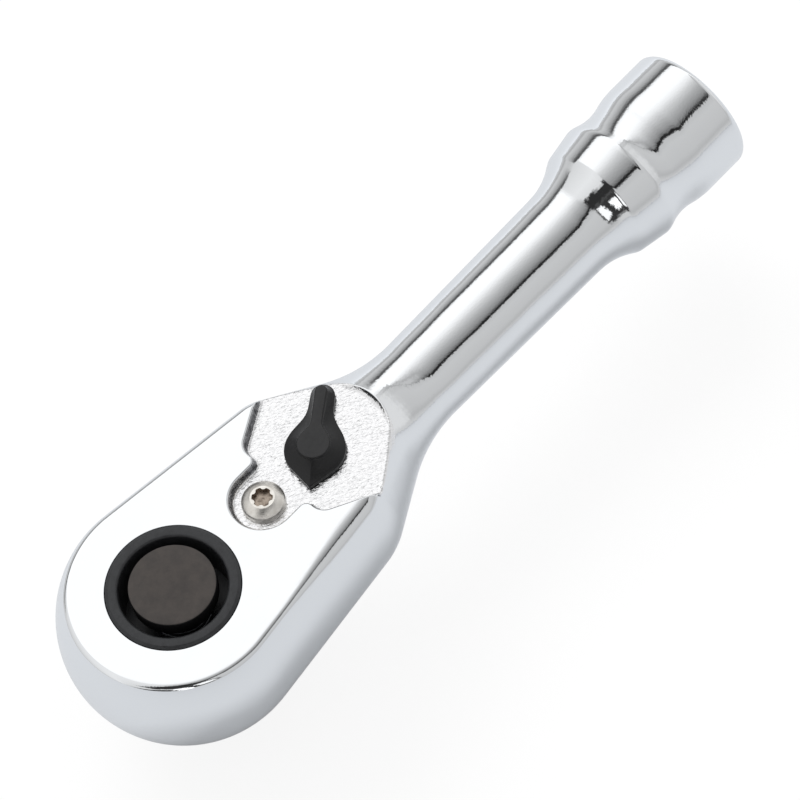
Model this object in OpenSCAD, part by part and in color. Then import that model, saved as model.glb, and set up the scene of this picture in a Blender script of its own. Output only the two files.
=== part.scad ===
// Stubby reversible socket ratchet with a 3/8 inch square drive and a push-button socket release.
// The origin is on the drive axis, in the plane where a socket seats. +X runs along the handle
// and +Z points out of the head's flat top, where the release button is.

/* [Head] */
// Thickness of the head, from its underside to its flat top
head_h = 17.6; // [17.2:0.1:19]
// Radius of the flat top round the drive axis
nose_r = 14.4; // [14:0.1:16]
// How far the side walls swell out beyond the flat top
side_bulge = 2.4; // [1.5:0.1:3]
// Taper of each side towards the handle, in degrees
side_taper = 7.3; // [6:0.1:8]
// Gap between the head's underside and the socket seat
seat_gap = 0.6; // [0.3:0.1:1.2]
// Chamfer along the edge of the flat top and of the underside
head_edge = 0.3; // [0.1:0.05:0.6]

/* [Handle] */
// Distance from the drive axis to the end of the handle
reach = 101.6; // [97:0.5:130]
// Radius of the bar at the neck
neck_r = 6.27; // [5.5:0.05:7]
// Radius of the bar in front of the collar
grip_r = 6.82; // [6.5:0.05:7.5]
// Slope of the turned shoulder between head and bar, in degrees
shoulder_slope = 28.5; // [26:0.5:32]
// Where the shoulder's cone is as wide as the side walls
shoulder_x = 28; // [27:0.5:32]
// Radius of the blend from the shoulder into the bar
shoulder_blend = 22; // [15:1:26]
// Radius of the round end barrel
barrel_r = 9.62; // [9.2:0.1:10.5]
// Length of the end barrel, behind the waist
barrel_l = 8.4; // [6:0.2:14]
// Length of the waist between collar and barrel
waist_l = 7.1; // [6:0.1:9]
// Depth of the waist below the barrel
waist_depth = 0.95; // [0.5:0.05:1.2]
// Length of the collar's conical part
collar_l = 4.8; // [4:0.1:7]
// Radius of the collar where the flare ends
collar_r = 8.85; // [8.6:0.05:9.1]
// Length of the flare from the bar to the collar
flare_l = 3.5; // [3:0.1:5]
// Radius of the handle's end rim
end_rim = 1.1; // [0.5:0.1:2]

/* [Lever pocket] */
// Depth of the pocket below the flat top
pocket_depth = 1.55; // [1.2:0.05:1.8]
// Radius of the bay round the pawl screw
bay_r = 4.6; // [4:0.05:4.8]
// Where the wide part of the pocket begins
pocket_x = 20.3; // [19.8:0.1:21]
// Half width of the pocket where its wall turns outwards
pocket_shoulder = 7.3; // [6.8:0.1:7.8]
// Angle of the pocket's outer walls from the handle's direction, in degrees
pocket_splay = 29; // [26:1:32]
// Radius of the pocket's end, round the lever
pocket_end_r = 11.1; // [10.6:0.1:11.6]

/* [Drive gear] */
// Number of ratchet teeth, a multiple of 12
teeth = 36; // [24:12:48]
// Tip radius of the teeth
tip_r = 10.6; // [10.4:0.05:10.7]
// Depth of the teeth
tooth_depth = 0.85; // [0.7:0.05:0.95]
// Width of the tooth ring
gear_w = 7.95; // [7.5:0.05:8.1]
// Radius of the hub that shows in the flat top
hub_r = 8.97; // [8.8:0.01:9]
// How far the hub stands above the flat top
hub_proud = 0.3; // [0.1:0.05:0.5]
// Radius of the well round the release button
well_r = 7.25; // [7:0.05:7.6]
// Radius of the lower hub, which is the socket seat
seat_r = 8.3; // [8:0.05:8.6]
// Width across the flats of the square drive
square_w = 9.5; // [9.42:0.01:9.53]
// Length of the square drive
square_l = 11; // [10.5:0.1:12]
// Radius that trims the square's corners
square_corner_r = 6.15; // [6:0.05:6.4]

/* [Socket release] */
// Radius of the push button
button_r = 5.85; // [5.5:0.05:6.2]
// Thickness of the push button
button_t = 2.65; // [2.3:0.05:3]
// How far the button stands above the flat top
button_proud = 0.85; // [0.6:0.05:1.2]
// Travel of the button
press = 2.0; // [1.8:0.1:2.2]
// Radius of the release rod
rod_r = 2.4; // [2.3:0.05:2.6]
// Radius of the lock ball
ball_r = 1.75; // [1.6:0.05:1.8]
// Wire of the spring under the button
spring_wire = 0.56; // [0.4:0.02:0.7]
// Room for that spring under the button
spring_room = 5.1; // [4.8:0.1:5.4]
// How far the ball moves in when the button is pressed
ball_travel = 0.7; // [0.6:0.05:0.75]
// Distance from the ball's centre to the end of the square
ball_from_end = 5.5; // [5.2:0.1:5.8]

/* [Pawl and lever] */
// Distance from the drive axis to the pawl's pivot
pivot_x = 16.9; // [16.7:0.1:17.2]
// Distance from the drive axis to the lever's axis
lever_x = 26.8; // [26.6:0.1:27.2]
// Angle between the lever and the handle at either end of its throw
lever_swing = 36; // [34:1:38]
// Angle that the pawl rocks through between its two sides
pawl_rock = 8; // [7.5:0.5:8.5]
// Height of the pawl
pawl_h = 6.5; // [6:0.1:6.6]
// Outer radius of the pawl's arms
arm_r = 12.9; // [12.6:0.1:13.2]
// Radius of the sleeve that the pawl rocks on
sleeve_r = 2.4; // [2.2:0.05:2.5]
// Radius of the pawl screw's shank
screw_r = 1.5; // [1.4:0.05:1.6]
// Radius of the pawl screw's head
screw_head_r = 2.95; // [2.7:0.05:3.1]
// Height of the pawl screw's head
screw_head_h = 1.95; // [1.6:0.05:2.1]
// Radius of the lever's spindle
spindle_r = 3.3; // [3.1:0.05:3.4]
// Radius of the lever's round base
lever_r = 4.2; // [4:0.1:4.5]
// Height of the lever above the pocket's floor
lever_h = 2.55; // [2.2:0.05:3]
// Distance from the lever's axis to the tip of its thumb bar
lever_tip = 9.8; // [9:0.1:10.2]
// Distance from the lever's axis to the point of its nose
lever_nose = 5.7; // [5.2:0.1:6]
// Radius of the lever's plunger
plunger_r = 1.25; // [1.1:0.05:1.3]
// Reach of the plunger's round nose from the lever's axis
plunger_reach = 5.5; // [5.3:0.05:5.6]

/* [Covers and rings] */
// Radius of the gear cover
cover_r = 12.6; // [12.4:0.05:12.7]
// Thickness of the gear cover
cover_t = 1.5; // [1.3:0.05:1.6]
// Thickness of the ring that holds the cover
ring_t = 0.95; // [0.8:0.05:1]
// How far that ring reaches into its groove
ring_bite = 0.5; // [0.4:0.05:0.6]
// Thickness of the gear's thrust washer
washer_t = 0.7; // [0.6:0.05:0.8]

/* [Fits] */
// Running clearance on the radius of shafts and on faces that turn
run = 0.05; // [0.03:0.01:0.08]
// Clearance between pawl teeth and gear teeth
mesh_play = 0.04; // [0.03:0.01:0.08]
// Clearance round pieces that only pass each other
pass = 0.25; // [0.2:0.05:0.4]

/* [Hidden] */

$fn = 72;
hull_fn = 32;
arc_step = 7.5;
big = 40;

// Heights, worked upwards from the socket seat
head_z0 = seat_gap;
head_z1 = head_z0 + head_h;
axis_z = (head_z0 + head_z1) / 2;
floor_z = head_z1 - pocket_depth;
ring_z = head_z0 + 0.6;
cover_z = ring_z + ring_t + run;
cover_z1 = cover_z + cover_t;
gear_z = cover_z1 + run;
gear_z1 = gear_z + gear_w;
roof_z = gear_z1 + run + washer_t;
hub_z1 = head_z1 + hub_proud;
chamber_z = cover_z1 + 1.05;
chamber_z1 = chamber_z + pawl_h + 2 * run;
pawl_z = chamber_z + run;
button_z1 = head_z1 + button_proud;
button_z = button_z1 - button_t;
well_z = button_z - spring_room;
ball_z = ball_from_end - square_l;

// Head
side_arc_r = (pow(head_h / 2, 2) + pow(side_bulge, 2)) / (2 * side_bulge);
widest_r = nose_r + side_bulge;

// Handle, as distances from the drive axis
barrel_x = reach - barrel_l;
crest_x = barrel_x - waist_l;
collar_x = crest_x - collar_l;
flare_x = collar_x - flare_l;
shoulder_r = widest_r / cos(side_taper) - shoulder_x * tan(side_taper) - 0.25;
neck_x = shoulder_x + (shoulder_r - neck_r) / tan(shoulder_slope);

// Drive gear
root_r = tip_r - tooth_depth;
pitch_angle = 360 / teeth;
tip_half = 0.08 * pitch_angle;
root_half = 0.08 * pitch_angle;
hub_edge = 0.35;
lower_seal = 0.42;
upper_seal = 0.45;

// Socket release. The rod's land holds the ball out, and the cone above it lets the ball in.
land_r = rod_r - 0.5;
ball_play = 0.02;
ball_x = land_r + ball_r + ball_play;
groove_r = land_r - ball_travel;
mouth_t = 0.25;
ball_bore_r = ball_r + run;
mouth_r = sqrt(pow(ball_r, 2) - pow(square_w / 2 - mouth_t - ball_x, 2)) + 0.03;
stop_z = ball_z - sqrt(pow(ball_r, 2) - pow(ball_x - rod_r, 2)) - ball_play - 0.02;
land_z = ball_z - 0.3;
groove_z = land_z + press;
groove_z1 = groove_z + ball_r + press - 1.65;
rod_z = stop_z - 1.15;
rod_z1 = button_z1 - 0.95;

// Pawl, lever and plunger. The pawl's back is the arc that the plunger's nose sweeps, as seen
// from the pawl while it rocks.
half_rock = pawl_rock / 2;
rock_per_turn = half_rock / lever_swing;
centres = lever_x - pivot_x;
nose_c = plunger_reach - plunger_r;
swept = lever_swing + half_rock;
nose_mid = centres - nose_c;
nose_end = [centres * cos(half_rock) - nose_c * cos(swept),
            centres * sin(half_rock) - nose_c * sin(swept)];
back_x = (pow(nose_end.x, 2) + pow(nose_end.y, 2) - pow(nose_mid, 2))
         / (2 * (nose_end.x - nose_mid));
back_r = back_x - nose_mid + plunger_r + run;
plunger_z = pawl_z + pawl_h / 2;
plunger_l = plunger_reach - 1;
spindle_z = head_z0 + 2;
clip_t = 0.6;
clip_z = chamber_z1 - clip_t - 0.15;
clip_r = spindle_r + 0.7;
clip_groove_r = spindle_r - 0.7;
spindle_seal = 0.33;
spindle_seal_z = chamber_z1 + 2.4;
screw_seal = 0.3;
seal_seat_r = screw_r + 2.2 * screw_seal + 0.35;

steel = "#d9dcdf";
oxide = "#3a3b3c";
button_colour = "#575250";
lever_colour = "#262627";
stainless = "#b8b5ae";
rubber = "#1d1d1e";
spring_colour = "#9a9da0";

// Corner b of an outline, rounded to radius r between its neighbours a and c
function unit(v) = v / norm(v);
function corner(a, b, c, r) =
    r == 0 ? [b] :
    let (u = unit(a - b), v = unit(c - b), half = acos(u * v) / 2,
         centre = b + unit(u + v) * r / sin(half),
         start = b + u * r / tan(half) - centre, end = b + v * r / tan(half) - centre,
         from = atan2(start.y, start.x), to = atan2(end.y, end.x),
         turn = to - from > 180 ? to - from - 360 : to - from < -180 ? to - from + 360 : to - from,
         n = max(2, ceil(abs(turn) / arc_step)))
    [for (i = [0:n]) centre + r * [cos(from + turn * i / n), sin(from + turn * i / n)]];
function flat(p) = [p.x, p.y];
function rounded(p) = let (n = len(p))
    [for (i = [0:n - 1])
        each corner(flat(p[(i + n - 1) % n]), flat(p[i]), flat(p[(i + 1) % n]), p[i][2])];
function polar(r, a) = r * [cos(a), sin(a)];

// Outline of the tooth ring. Grown by play, it cuts teeth that mesh with it.
function gear_outline(play = 0) =
    [for (i = [0:teeth - 1], q = [0:3])
        let (a = i * pitch_angle, mid = a + pitch_angle / 2)
        q == 0 ? polar(tip_r + play, a - tip_half) :
        q == 1 ? polar(tip_r + play, a + tip_half) :
        q == 2 ? polar(root_r + play, mid - root_half) : polar(root_r + play, mid + root_half)];

// A wire coil of real turns, standing on z = 0, as one closed tube
module coil(r, wire, height, turns) {
    sides = 6;
    rings = turns * 14;
    rise = height - 2 * wire;
    lean = atan2(rise / turns, 360 * r * PI / 180);
    points = [for (i = [0:rings], s = [0:sides - 1])
        let (a = 360 * turns * i / rings, t = 360 * s / sides,
             out = r + wire * cos(t), up = wire * sin(t))
        [out * cos(a) + up * sin(lean) * sin(a), out * sin(a) - up * sin(lean) * cos(a),
         wire + rise * i / rings + up * cos(lean)]];
    walls = [for (i = [0:rings - 1], s = [0:sides - 1])
        let (a = i * sides + s, b = i * sides + (s + 1) % sides)
        each [[a, a + sides, b + sides], [a, b + sides, b]]];
    ends = [for (s = [1:sides - 2])
        each [[0, s, s + 1],
              [rings * sides, rings * sides + s + 1, rings * sides + s]]];
    polyhedron(points, concat(walls, ends), convexity = 8);
}

// A ring of round section about the Z axis
module o_ring(r, section) {
    rotate_extrude() translate([r, 0]) circle(r = section, $fn = 24);
}

module ring(outer, inner, h) {
    difference() {
        cylinder(r = outer, h = h);
        translate([0, 0, -1]) cylinder(r = inner, h = h + 2);
    }
}

// A sector of a disc, a degrees to each side of the X axis
module sector(r, a) {
    intersection() {
        circle(r = r);
        polygon([[0, 0], polar(r / cos(a), a), polar(r / cos(a), -a)]);
    }
}

module about_pivot(a) {
    translate([pivot_x, 0]) rotate(a) translate([-pivot_x, 0]) children();
}

module at_lever() {
    translate([lever_x, 0, 0]) rotate(lever_swing) children();
}

// Half of the head's section, from the middle out to the swelling side wall
module half_section() {
    intersection() {
        translate([widest_r - side_arc_r, 0]) circle(r = side_arc_r, $fn = 180);
        polygon([[0, -head_h / 2], [nose_r - head_edge, -head_h / 2],
                 [nose_r + head_edge, head_edge * 2 - head_h / 2], [widest_r + 1, 0],
                 [nose_r + head_edge, head_h / 2 - head_edge * 2],
                 [nose_r - head_edge, head_h / 2], [0, head_h / 2]]);
    }
}

// The head before it is machined: a round nose and two tapering sides
module head_blank() {
    lap = 8;
    translate([0, 0, axis_z]) {
        rotate(90 - side_taper - lap)
            rotate_extrude(angle = 180 + 2 * (side_taper + lap), $fn = 144) half_section();
        for (side = [0, 1]) mirror([0, side, 0]) rotate(-side_taper)
            rotate([90, 0, 90]) linear_extrude(height = neck_x + 6) half_section();
    }
}

// Everything that is turned about the handle's own axis: shoulder, bar, collar, waist and barrel
module turned_bar() {
    outline = rounded([
        [0, -widest_r - 2, 0],
        [shoulder_r + 8, -widest_r - 2, 0],
        [shoulder_r + 8, shoulder_x - 8 / tan(shoulder_slope), 0],
        [neck_r, neck_x, shoulder_blend],
        [grip_r, flare_x, 3],
        [collar_r, collar_x, 2],
        [barrel_r + 0.03, crest_x, 0.8],
        [barrel_r - waist_depth, crest_x + 0.45 * waist_l, 4],
        [barrel_r, barrel_x, 4],
        [barrel_r, reach, end_rim],
        [0, reach, 0]]);
    translate([0, 0, axis_z]) rotate([0, 90, 0]) rotate_extrude() polygon(outline);
}

module forging() {
    intersection() {
        turned_bar();
        union() {
            head_blank();
            translate([neck_x + 2, -big / 2, axis_z - big / 2]) cube([reach, big, big]);
        }
    }
}

// Plan of the pocket: a round bay at the pawl screw that opens into a wide seat for the lever.
// The seat runs out through both sides of the head and ends in an arc round the lever.
module pocket_plan() {
    exit_x = shoulder_x + 1;
    exit_y = pocket_shoulder + (exit_x - pocket_x) * tan(pocket_splay);
    polygon(rounded([
        [pivot_x - bay_r, -bay_r, bay_r - 0.01], [pocket_x, -bay_r, 1.2],
        [pocket_x, -pocket_shoulder, 1.2], [exit_x, -exit_y, 0],
        [exit_x, exit_y, 0], [pocket_x, pocket_shoulder, 1.2],
        [pocket_x, bay_r, 1.2], [pivot_x - bay_r, bay_r, bay_r - 0.01]]));
    intersection() {
        translate([lever_x, 0]) circle(r = pocket_end_r);
        translate([lever_x, -big]) square([big, 2 * big]);
    }
}

module pocket() {
    translate([0, 0, floor_z]) linear_extrude(height = big / 2) pocket_plan();
}

// Plan of the slot that the pawl rocks in, open to the gear's bore
module chamber_plan() {
    sector(arm_r + 1.3, 57);
    polygon([[8, 8], [11.4, 8.4], [pivot_x, 5.8], [lever_x - 3, 5], [lever_x, 5],
             [lever_x, -5], [lever_x - 3, -5], [pivot_x, -5.8], [11.4, -8.4], [8, -8]]);
    translate([lever_x, 0]) circle(r = 5.3);
}

module body() {
    color(steel) difference() {
        forging();
        pocket();
        translate([0, 0, gear_z]) cylinder(r = hub_r + run, h = big);
        translate([0, 0, cover_z]) cylinder(r = tip_r + pass, h = roof_z - cover_z);
        translate([0, 0, -1]) cylinder(r = cover_r + run, h = cover_z1 + 1);
        translate([0, 0, ring_z]) cylinder(r = cover_r + run + ring_bite + run, h = ring_t + run);
        translate([0, 0, roof_z + 1.6 - upper_seal])
            cylinder(r = hub_r + run + 2 * upper_seal, h = 2 * upper_seal);
        translate([0, 0, chamber_z]) linear_extrude(height = chamber_z1 - chamber_z)
            chamber_plan();
        translate([pivot_x, 0, head_z0 + 1]) cylinder(r = screw_r, h = big);
        translate([pivot_x, 0, floor_z - 2 * screw_seal]) cylinder(r = seal_seat_r, h = big);
        translate([lever_x, 0, spindle_z - run]) cylinder(r = spindle_r + run, h = big);
    }
}

module square_drive() {
    intersection() {
        translate([-square_w / 2, -square_w / 2, -square_l]) cube([square_w, square_w, square_l + 1]);
        cylinder(r = square_corner_r, h = 2 * square_l, center = true);
        translate([0, 0, -square_l]) cylinder(r1 = square_w / 2, r2 = square_w / 2 + 2 * square_l,
                                              h = square_l + 1);
    }
}

module drive_gear() {
    color(oxide) difference() {
        union() {
            translate([0, 0, gear_z]) linear_extrude(height = gear_w) polygon(gear_outline());
            translate([0, 0, gear_z + 1]) cylinder(r = hub_r, h = hub_z1 - gear_z - 1 - hub_edge);
            translate([0, 0, hub_z1 - hub_edge]) cylinder(r1 = hub_r, r2 = hub_r - hub_edge, h = hub_edge);
            cylinder(r = seat_r, h = gear_z + 1);
            square_drive();
        }
        translate([0, 0, well_z]) cylinder(r = well_r, h = big);
        translate([0, 0, rod_z - press - 0.2]) cylinder(r = rod_r + run, h = big);
        translate([-square_w / 2 + mouth_t, 0, ball_z]) rotate([0, 90, 0])
            cylinder(r = ball_bore_r, h = square_w / 2 - mouth_t);
        translate([-square_w / 2 - 1, 0, ball_z]) rotate([0, 90, 0])
            cylinder(r = mouth_r, h = square_w / 2);
    }
}

module thrust_washer() {
    color(spring_colour) translate([0, 0, gear_z1 + run]) ring(tip_r, hub_r + run, washer_t);
}

module hub_seal() {
    color(rubber) translate([0, 0, roof_z + 1.6]) o_ring(hub_r + run + upper_seal, upper_seal);
}

module gear_cover() {
    color(oxide) difference() {
        translate([0, 0, cover_z]) ring(cover_r, seat_r + run, cover_t);
        translate([0, 0, cover_z + cover_t / 2 - lower_seal])
            cylinder(r = seat_r + run + 2 * lower_seal, h = 2 * lower_seal);
    }
}

module cover_seal() {
    color(rubber) translate([0, 0, cover_z + cover_t / 2]) o_ring(seat_r + run + lower_seal, lower_seal);
}

// An open ring of spring steel in the groove below the gear cover, with its gap to the handle
module cover_ring() {
    color(spring_colour) translate([0, 0, ring_z + run]) linear_extrude(height = ring_t) difference() {
        circle(r = cover_r + run + ring_bite);
        circle(r = cover_r - 1);
        polygon([[0, 0], polar(2 * cover_r, 12), polar(2 * cover_r, -12)]);
    }
}

module release_button() {
    edge = 0.3;
    color(button_colour) translate([0, 0, button_z]) difference() {
        union() {
            cylinder(r = button_r, h = button_t - edge);
            translate([0, 0, button_t - edge]) cylinder(r1 = button_r, r2 = button_r - edge, h = edge);
        }
        translate([0, 0, -1]) cylinder(r = rod_r, h = rod_z1 - button_z + 1);
    }
}

module release_rod() {
    color(spring_colour) rotate_extrude() polygon([
        [0, rod_z], [rod_r - 0.4, rod_z], [rod_r, rod_z + 0.4], [rod_r, stop_z],
        [land_r, stop_z], [land_r, land_z], [groove_r, groove_z], [groove_r, groove_z1],
        [rod_r, groove_z1], [rod_r, rod_z1], [0, rod_z1]]);
}

module release_spring() {
    color(spring_colour) translate([0, 0, well_z + 0.02])
        coil((rod_r + button_r) / 2, spring_wire / 2, button_z - well_z - 0.04, 4.5);
}

module lock_ball() {
    color(spring_colour) translate([-ball_x, 0, ball_z]) sphere(r = ball_r);
}

// The pawl midway between its two sides. Each arm's teeth are cut where that arm is in mesh.
module pawl_plan() {
    horn_y = sleeve_r + 1.8;
    horn_x = pivot_x + back_x - back_r * cos(asin(horn_y / back_r * 0.75));
    difference() {
        intersection() {
            circle(r = horn_x + 1);
            polygon([[0, 0], polar(big, 50), polar(big, -50)]);
        }
        translate([pivot_x, 0]) circle(r = sleeve_r + run);
        translate([pivot_x + back_x, 0]) circle(r = back_r);
        difference() {
            translate([0, -big]) square([big, 2 * big]);
            circle(r = arm_r);
            polygon([[0, 0], [10.4, 7.6], [pivot_x - 1, 4.8], [horn_x, horn_y],
                     [horn_x, -horn_y], [pivot_x - 1, -4.8], [10.4, -7.6]]);
        }
        for (side = [-1, 1]) {
            intersection() {
                about_pivot(-side * half_rock) polygon(gear_outline(1.4 * mesh_play));
                translate([-big, side > 0 ? 0 : -big]) square([2 * big, big]);
            }
            intersection() {
                about_pivot(side * half_rock) circle(r = tip_r + 0.1);
                sector(arm_r, 22);
            }
        }
    }
}

module pawl() {
    color(oxide) translate([0, 0, pawl_z]) linear_extrude(height = pawl_h)
        about_pivot(-half_rock) pawl_plan();
}

module pawl_sleeve() {
    color(spring_colour) translate([pivot_x, 0, chamber_z])
        ring(sleeve_r, screw_r + 0.02, chamber_z1 - chamber_z);
}

// Plan of a six-lobed driver recess
module six_lobe(r) {
    difference() {
        circle(r = r);
        for (i = [0:5]) rotate(60 * i + 30) translate([1.12 * r, 0]) circle(r = 0.3 * r);
    }
}

module pawl_screw() {
    rim = 0.5;
    dome = screw_head_h - rim;
    dome_r = (pow(screw_head_r, 2) + pow(dome, 2)) / (2 * dome);
    color(stainless) translate([pivot_x, 0, floor_z]) difference() {
        union() {
            intersection() {
                cylinder(r = screw_head_r, h = screw_head_h);
                translate([0, 0, screw_head_h - dome_r]) sphere(r = dome_r);
            }
            translate([0, 0, head_z0 + 1.4 - floor_z])
                cylinder(r = screw_r, h = floor_z - head_z0 - 1);
        }
        translate([0, 0, screw_head_h - 1.2]) linear_extrude(height = 2) rotate(8) six_lobe(1.42);
    }
}

module screw_seal() {
    color(rubber) translate([pivot_x, 0, floor_z - screw_seal])
        o_ring(seal_seat_r - screw_seal, screw_seal);
}

// Top of the lever: a bevelled round boss with a thumb bar on one side and a pointed nose on the other
module lever_top() {
    wall = 0.8;
    bar_r = 1.6;
    bar_x = lever_tip - bar_r;
    crown = 2;
    translate([0, 0, floor_z + run]) {
        hull() {
            cylinder(r = lever_r, h = wall, $fn = hull_fn);
            cylinder(r = crown, h = lever_h - run, $fn = hull_fn);
        }
        hull() {
            translate([bar_x, 0, 0]) cylinder(r = bar_r, h = wall, $fn = hull_fn);
            translate([1.5, 0, 0]) cylinder(r = 2.5, h = wall, $fn = hull_fn);
            translate([bar_x - 0.3, 0, 0]) cylinder(r = 0.75, h = lever_h - run, $fn = hull_fn);
            translate([1, 0, 0]) cylinder(r = 1.1, h = lever_h - run, $fn = hull_fn);
        }
        hull() {
            linear_extrude(height = wall)
                polygon([[-lever_nose, 0.2], [-lever_nose, -0.2], [-2.6, -3.3], [-2.6, 3.3]]);
            translate([-lever_nose + 0.9, -0.1, 0]) cube([0.2, 0.2, wall + 0.7]);
            translate([-1.8, -0.4, 0]) cube([0.2, 0.8, lever_h - run - 0.15]);
        }
    }
}

module reversing_lever() {
    color(lever_colour) at_lever() difference() {
        union() {
            lever_top();
            translate([0, 0, spindle_z]) cylinder(r = spindle_r, h = floor_z + 0.5 - spindle_z);
        }
        translate([-spindle_r - 1, 0, plunger_z]) rotate([0, 90, 0])
            cylinder(r = plunger_r + run, h = spindle_r + 3.1);
        translate([0, 0, clip_z]) ring(spindle_r + 1, clip_groove_r, clip_t);
        translate([0, 0, spindle_seal_z - spindle_seal])
            ring(spindle_r + 1, spindle_r + 0.03 - 2 * spindle_seal, 2 * spindle_seal);
    }
}

module lever_seal() {
    color(rubber) at_lever() translate([0, 0, spindle_seal_z])
        o_ring(spindle_r + 0.03 - spindle_seal, spindle_seal);
}

// An open ring that springs out below the roof of the chamber and keeps the lever in
module lever_clip() {
    color(spring_colour) at_lever() translate([0, 0, clip_z]) linear_extrude(height = clip_t)
        difference() {
            circle(r = clip_r);
            circle(r = clip_groove_r);
            polygon([[0, 0], [2 * clip_r, 1.6], [2 * clip_r, -1.6]]);
        }
}

module lever_plunger() {
    color(stainless) at_lever() translate([0, 0, plunger_z]) rotate([0, -90, 0]) {
        translate([0, 0, plunger_reach - plunger_l])
            cylinder(r = plunger_r, h = plunger_l - plunger_r);
        translate([0, 0, nose_c]) sphere(r = plunger_r);
    }
}

module lever_spring() {
    start = 2.05;
    color(spring_colour) at_lever() translate([start, 0, plunger_z]) rotate([0, -90, 0])
        coil(0.9, 0.15, start + plunger_reach - plunger_l - 0.03, 5);
}

body();
drive_gear();
thrust_washer();
hub_seal();
gear_cover();
cover_seal();
cover_ring();
release_button();
release_rod();
release_spring();
lock_ball();
pawl();
pawl_sleeve();
pawl_screw();
screw_seal();
reversing_lever();
lever_seal();
lever_clip();
lever_plunger();
lever_spring();
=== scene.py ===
"""The looks of a stubby reversible socket ratchet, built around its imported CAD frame.

Lengths are in mm in the row frame, and become metres where a mesh is made. The origin is on the
drive axis in the plane where a socket seats, +X runs along the handle and +Z out of the flat top.
"""

import logging
import math
from dataclasses import dataclass
from enum import Enum
from typing import Any, Callable, ClassVar, Iterable, Optional, Sequence

import bmesh
import bpy
import numpy as np
from mathutils import Matrix, Vector
from mathutils.geometry import delaunay_2d_cdt


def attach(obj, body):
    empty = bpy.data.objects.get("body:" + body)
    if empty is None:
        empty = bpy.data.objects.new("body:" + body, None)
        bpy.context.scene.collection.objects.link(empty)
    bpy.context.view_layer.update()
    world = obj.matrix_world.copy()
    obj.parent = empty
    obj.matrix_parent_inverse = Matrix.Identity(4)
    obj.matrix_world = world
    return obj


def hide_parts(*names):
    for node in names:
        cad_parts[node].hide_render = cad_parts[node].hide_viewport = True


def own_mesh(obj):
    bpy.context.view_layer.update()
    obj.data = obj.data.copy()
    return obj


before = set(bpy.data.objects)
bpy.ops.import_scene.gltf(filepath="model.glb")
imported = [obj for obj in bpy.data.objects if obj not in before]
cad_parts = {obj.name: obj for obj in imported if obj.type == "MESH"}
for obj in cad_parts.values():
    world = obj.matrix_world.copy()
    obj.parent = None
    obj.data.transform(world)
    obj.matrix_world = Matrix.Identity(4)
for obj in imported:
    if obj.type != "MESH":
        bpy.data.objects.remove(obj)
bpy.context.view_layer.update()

MM = 0.001
WELD = 2e-7
LOG = logging.getLogger("ratchet")

Array = np.ndarray
Point2 = tuple[float, float]
Field = Callable[[Array, Array, Array], Array]


# Outlines and fields

def rounded(corners: Sequence[tuple[float, float, float]], step: float = 2.0) -> Array:
    """Follows a closed outline whose corners are filleted.

    Args:
        corners: each corner's x, y and fillet radius, in order.
        step: the turn between neighbouring points on a fillet, in degrees.

    Returns:
        The outline's points, one row each.
    """
    points = np.array([c[:2] for c in corners], float)
    found: list[Array] = []
    for i, (_, _, radius) in enumerate(corners):
        here, before, after = points[i], points[i - 1], points[(i + 1) % len(points)]
        if radius == 0:
            found.append(here)
            continue
        u = (before - here) / np.linalg.norm(before - here)
        v = (after - here) / np.linalg.norm(after - here)
        half = math.acos(np.clip(u @ v, -1, 1)) / 2
        middle = (u + v) / np.linalg.norm(u + v)
        centre = here + middle * radius / math.sin(half)
        first = here + u * radius / math.tan(half) - centre
        last = here + v * radius / math.tan(half) - centre
        start = math.atan2(first[1], first[0])
        turn = (math.atan2(last[1], last[0]) - start + math.pi) % (2 * math.pi) - math.pi
        count = max(2, math.ceil(abs(math.degrees(turn)) / step))
        for k in range(count + 1):
            a = start + turn * k / count
            found.append(centre + radius * np.array([math.cos(a), math.sin(a)]))
    return np.array(found)


def meet(a: Array, b: Array, radius: float) -> Array:
    """The field of what is inside both a and b, with the edge between them rounded."""
    edge = np.hypot(np.maximum(radius + a, 0), np.maximum(radius + b, 0))
    return np.minimum(-radius, np.maximum(a, b)) + edge


def join(a: Array, b: Array, radius: float) -> Array:
    """The field of what is inside a or b, with a soft fillet of about that radius between them."""
    share = np.clip(0.5 + 0.5 * (b - a) / radius, 0, 1)
    return b + (a - b) * share - radius * share * (1 - share)


def two_discs(x: Array, y: Array, a: tuple[float, float], b: tuple[float, float]) -> Array:
    """The distance from the convex outline round two discs whose centres are on the X axis.

    Args:
        x: places along the axis.
        y: places across it.
        a: centre and radius of the first disc.
        b: centre and radius of the second disc, further along +X.

    Returns:
        The distance at each place, negative inside.
    """
    length = b[0] - a[0]
    lean = (a[1] - b[1]) / length
    flank = math.sqrt(1 - lean * lean)
    px, py = x - a[0], np.abs(y)
    along = px * flank - py * lean
    return np.where(along < 0, np.hypot(px, py) - a[1],
                    np.where(along > length * flank, np.hypot(px - length, py) - b[1],
                             px * lean + py * flank - a[1]))


def crossing(rising: Callable[[Array], Array], low: Array, high: Array, steps: int = 40) -> Array:
    """Where a rising function passes through zero, for many rays at once.

    Args:
        rising: the function, given one value for each ray.
        low: values at which it is negative.
        high: values at which it is positive.
        steps: how often the gap is halved.

    Returns:
        The value at the crossing for each ray.
    """
    low, high = low.astype(float).copy(), high.astype(float).copy()
    for _ in range(steps):
        middle = (low + high) / 2
        inside = rising(middle) < 0
        low, high = np.where(inside, middle, low), np.where(inside, high, middle)
    return (low + high) / 2


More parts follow.
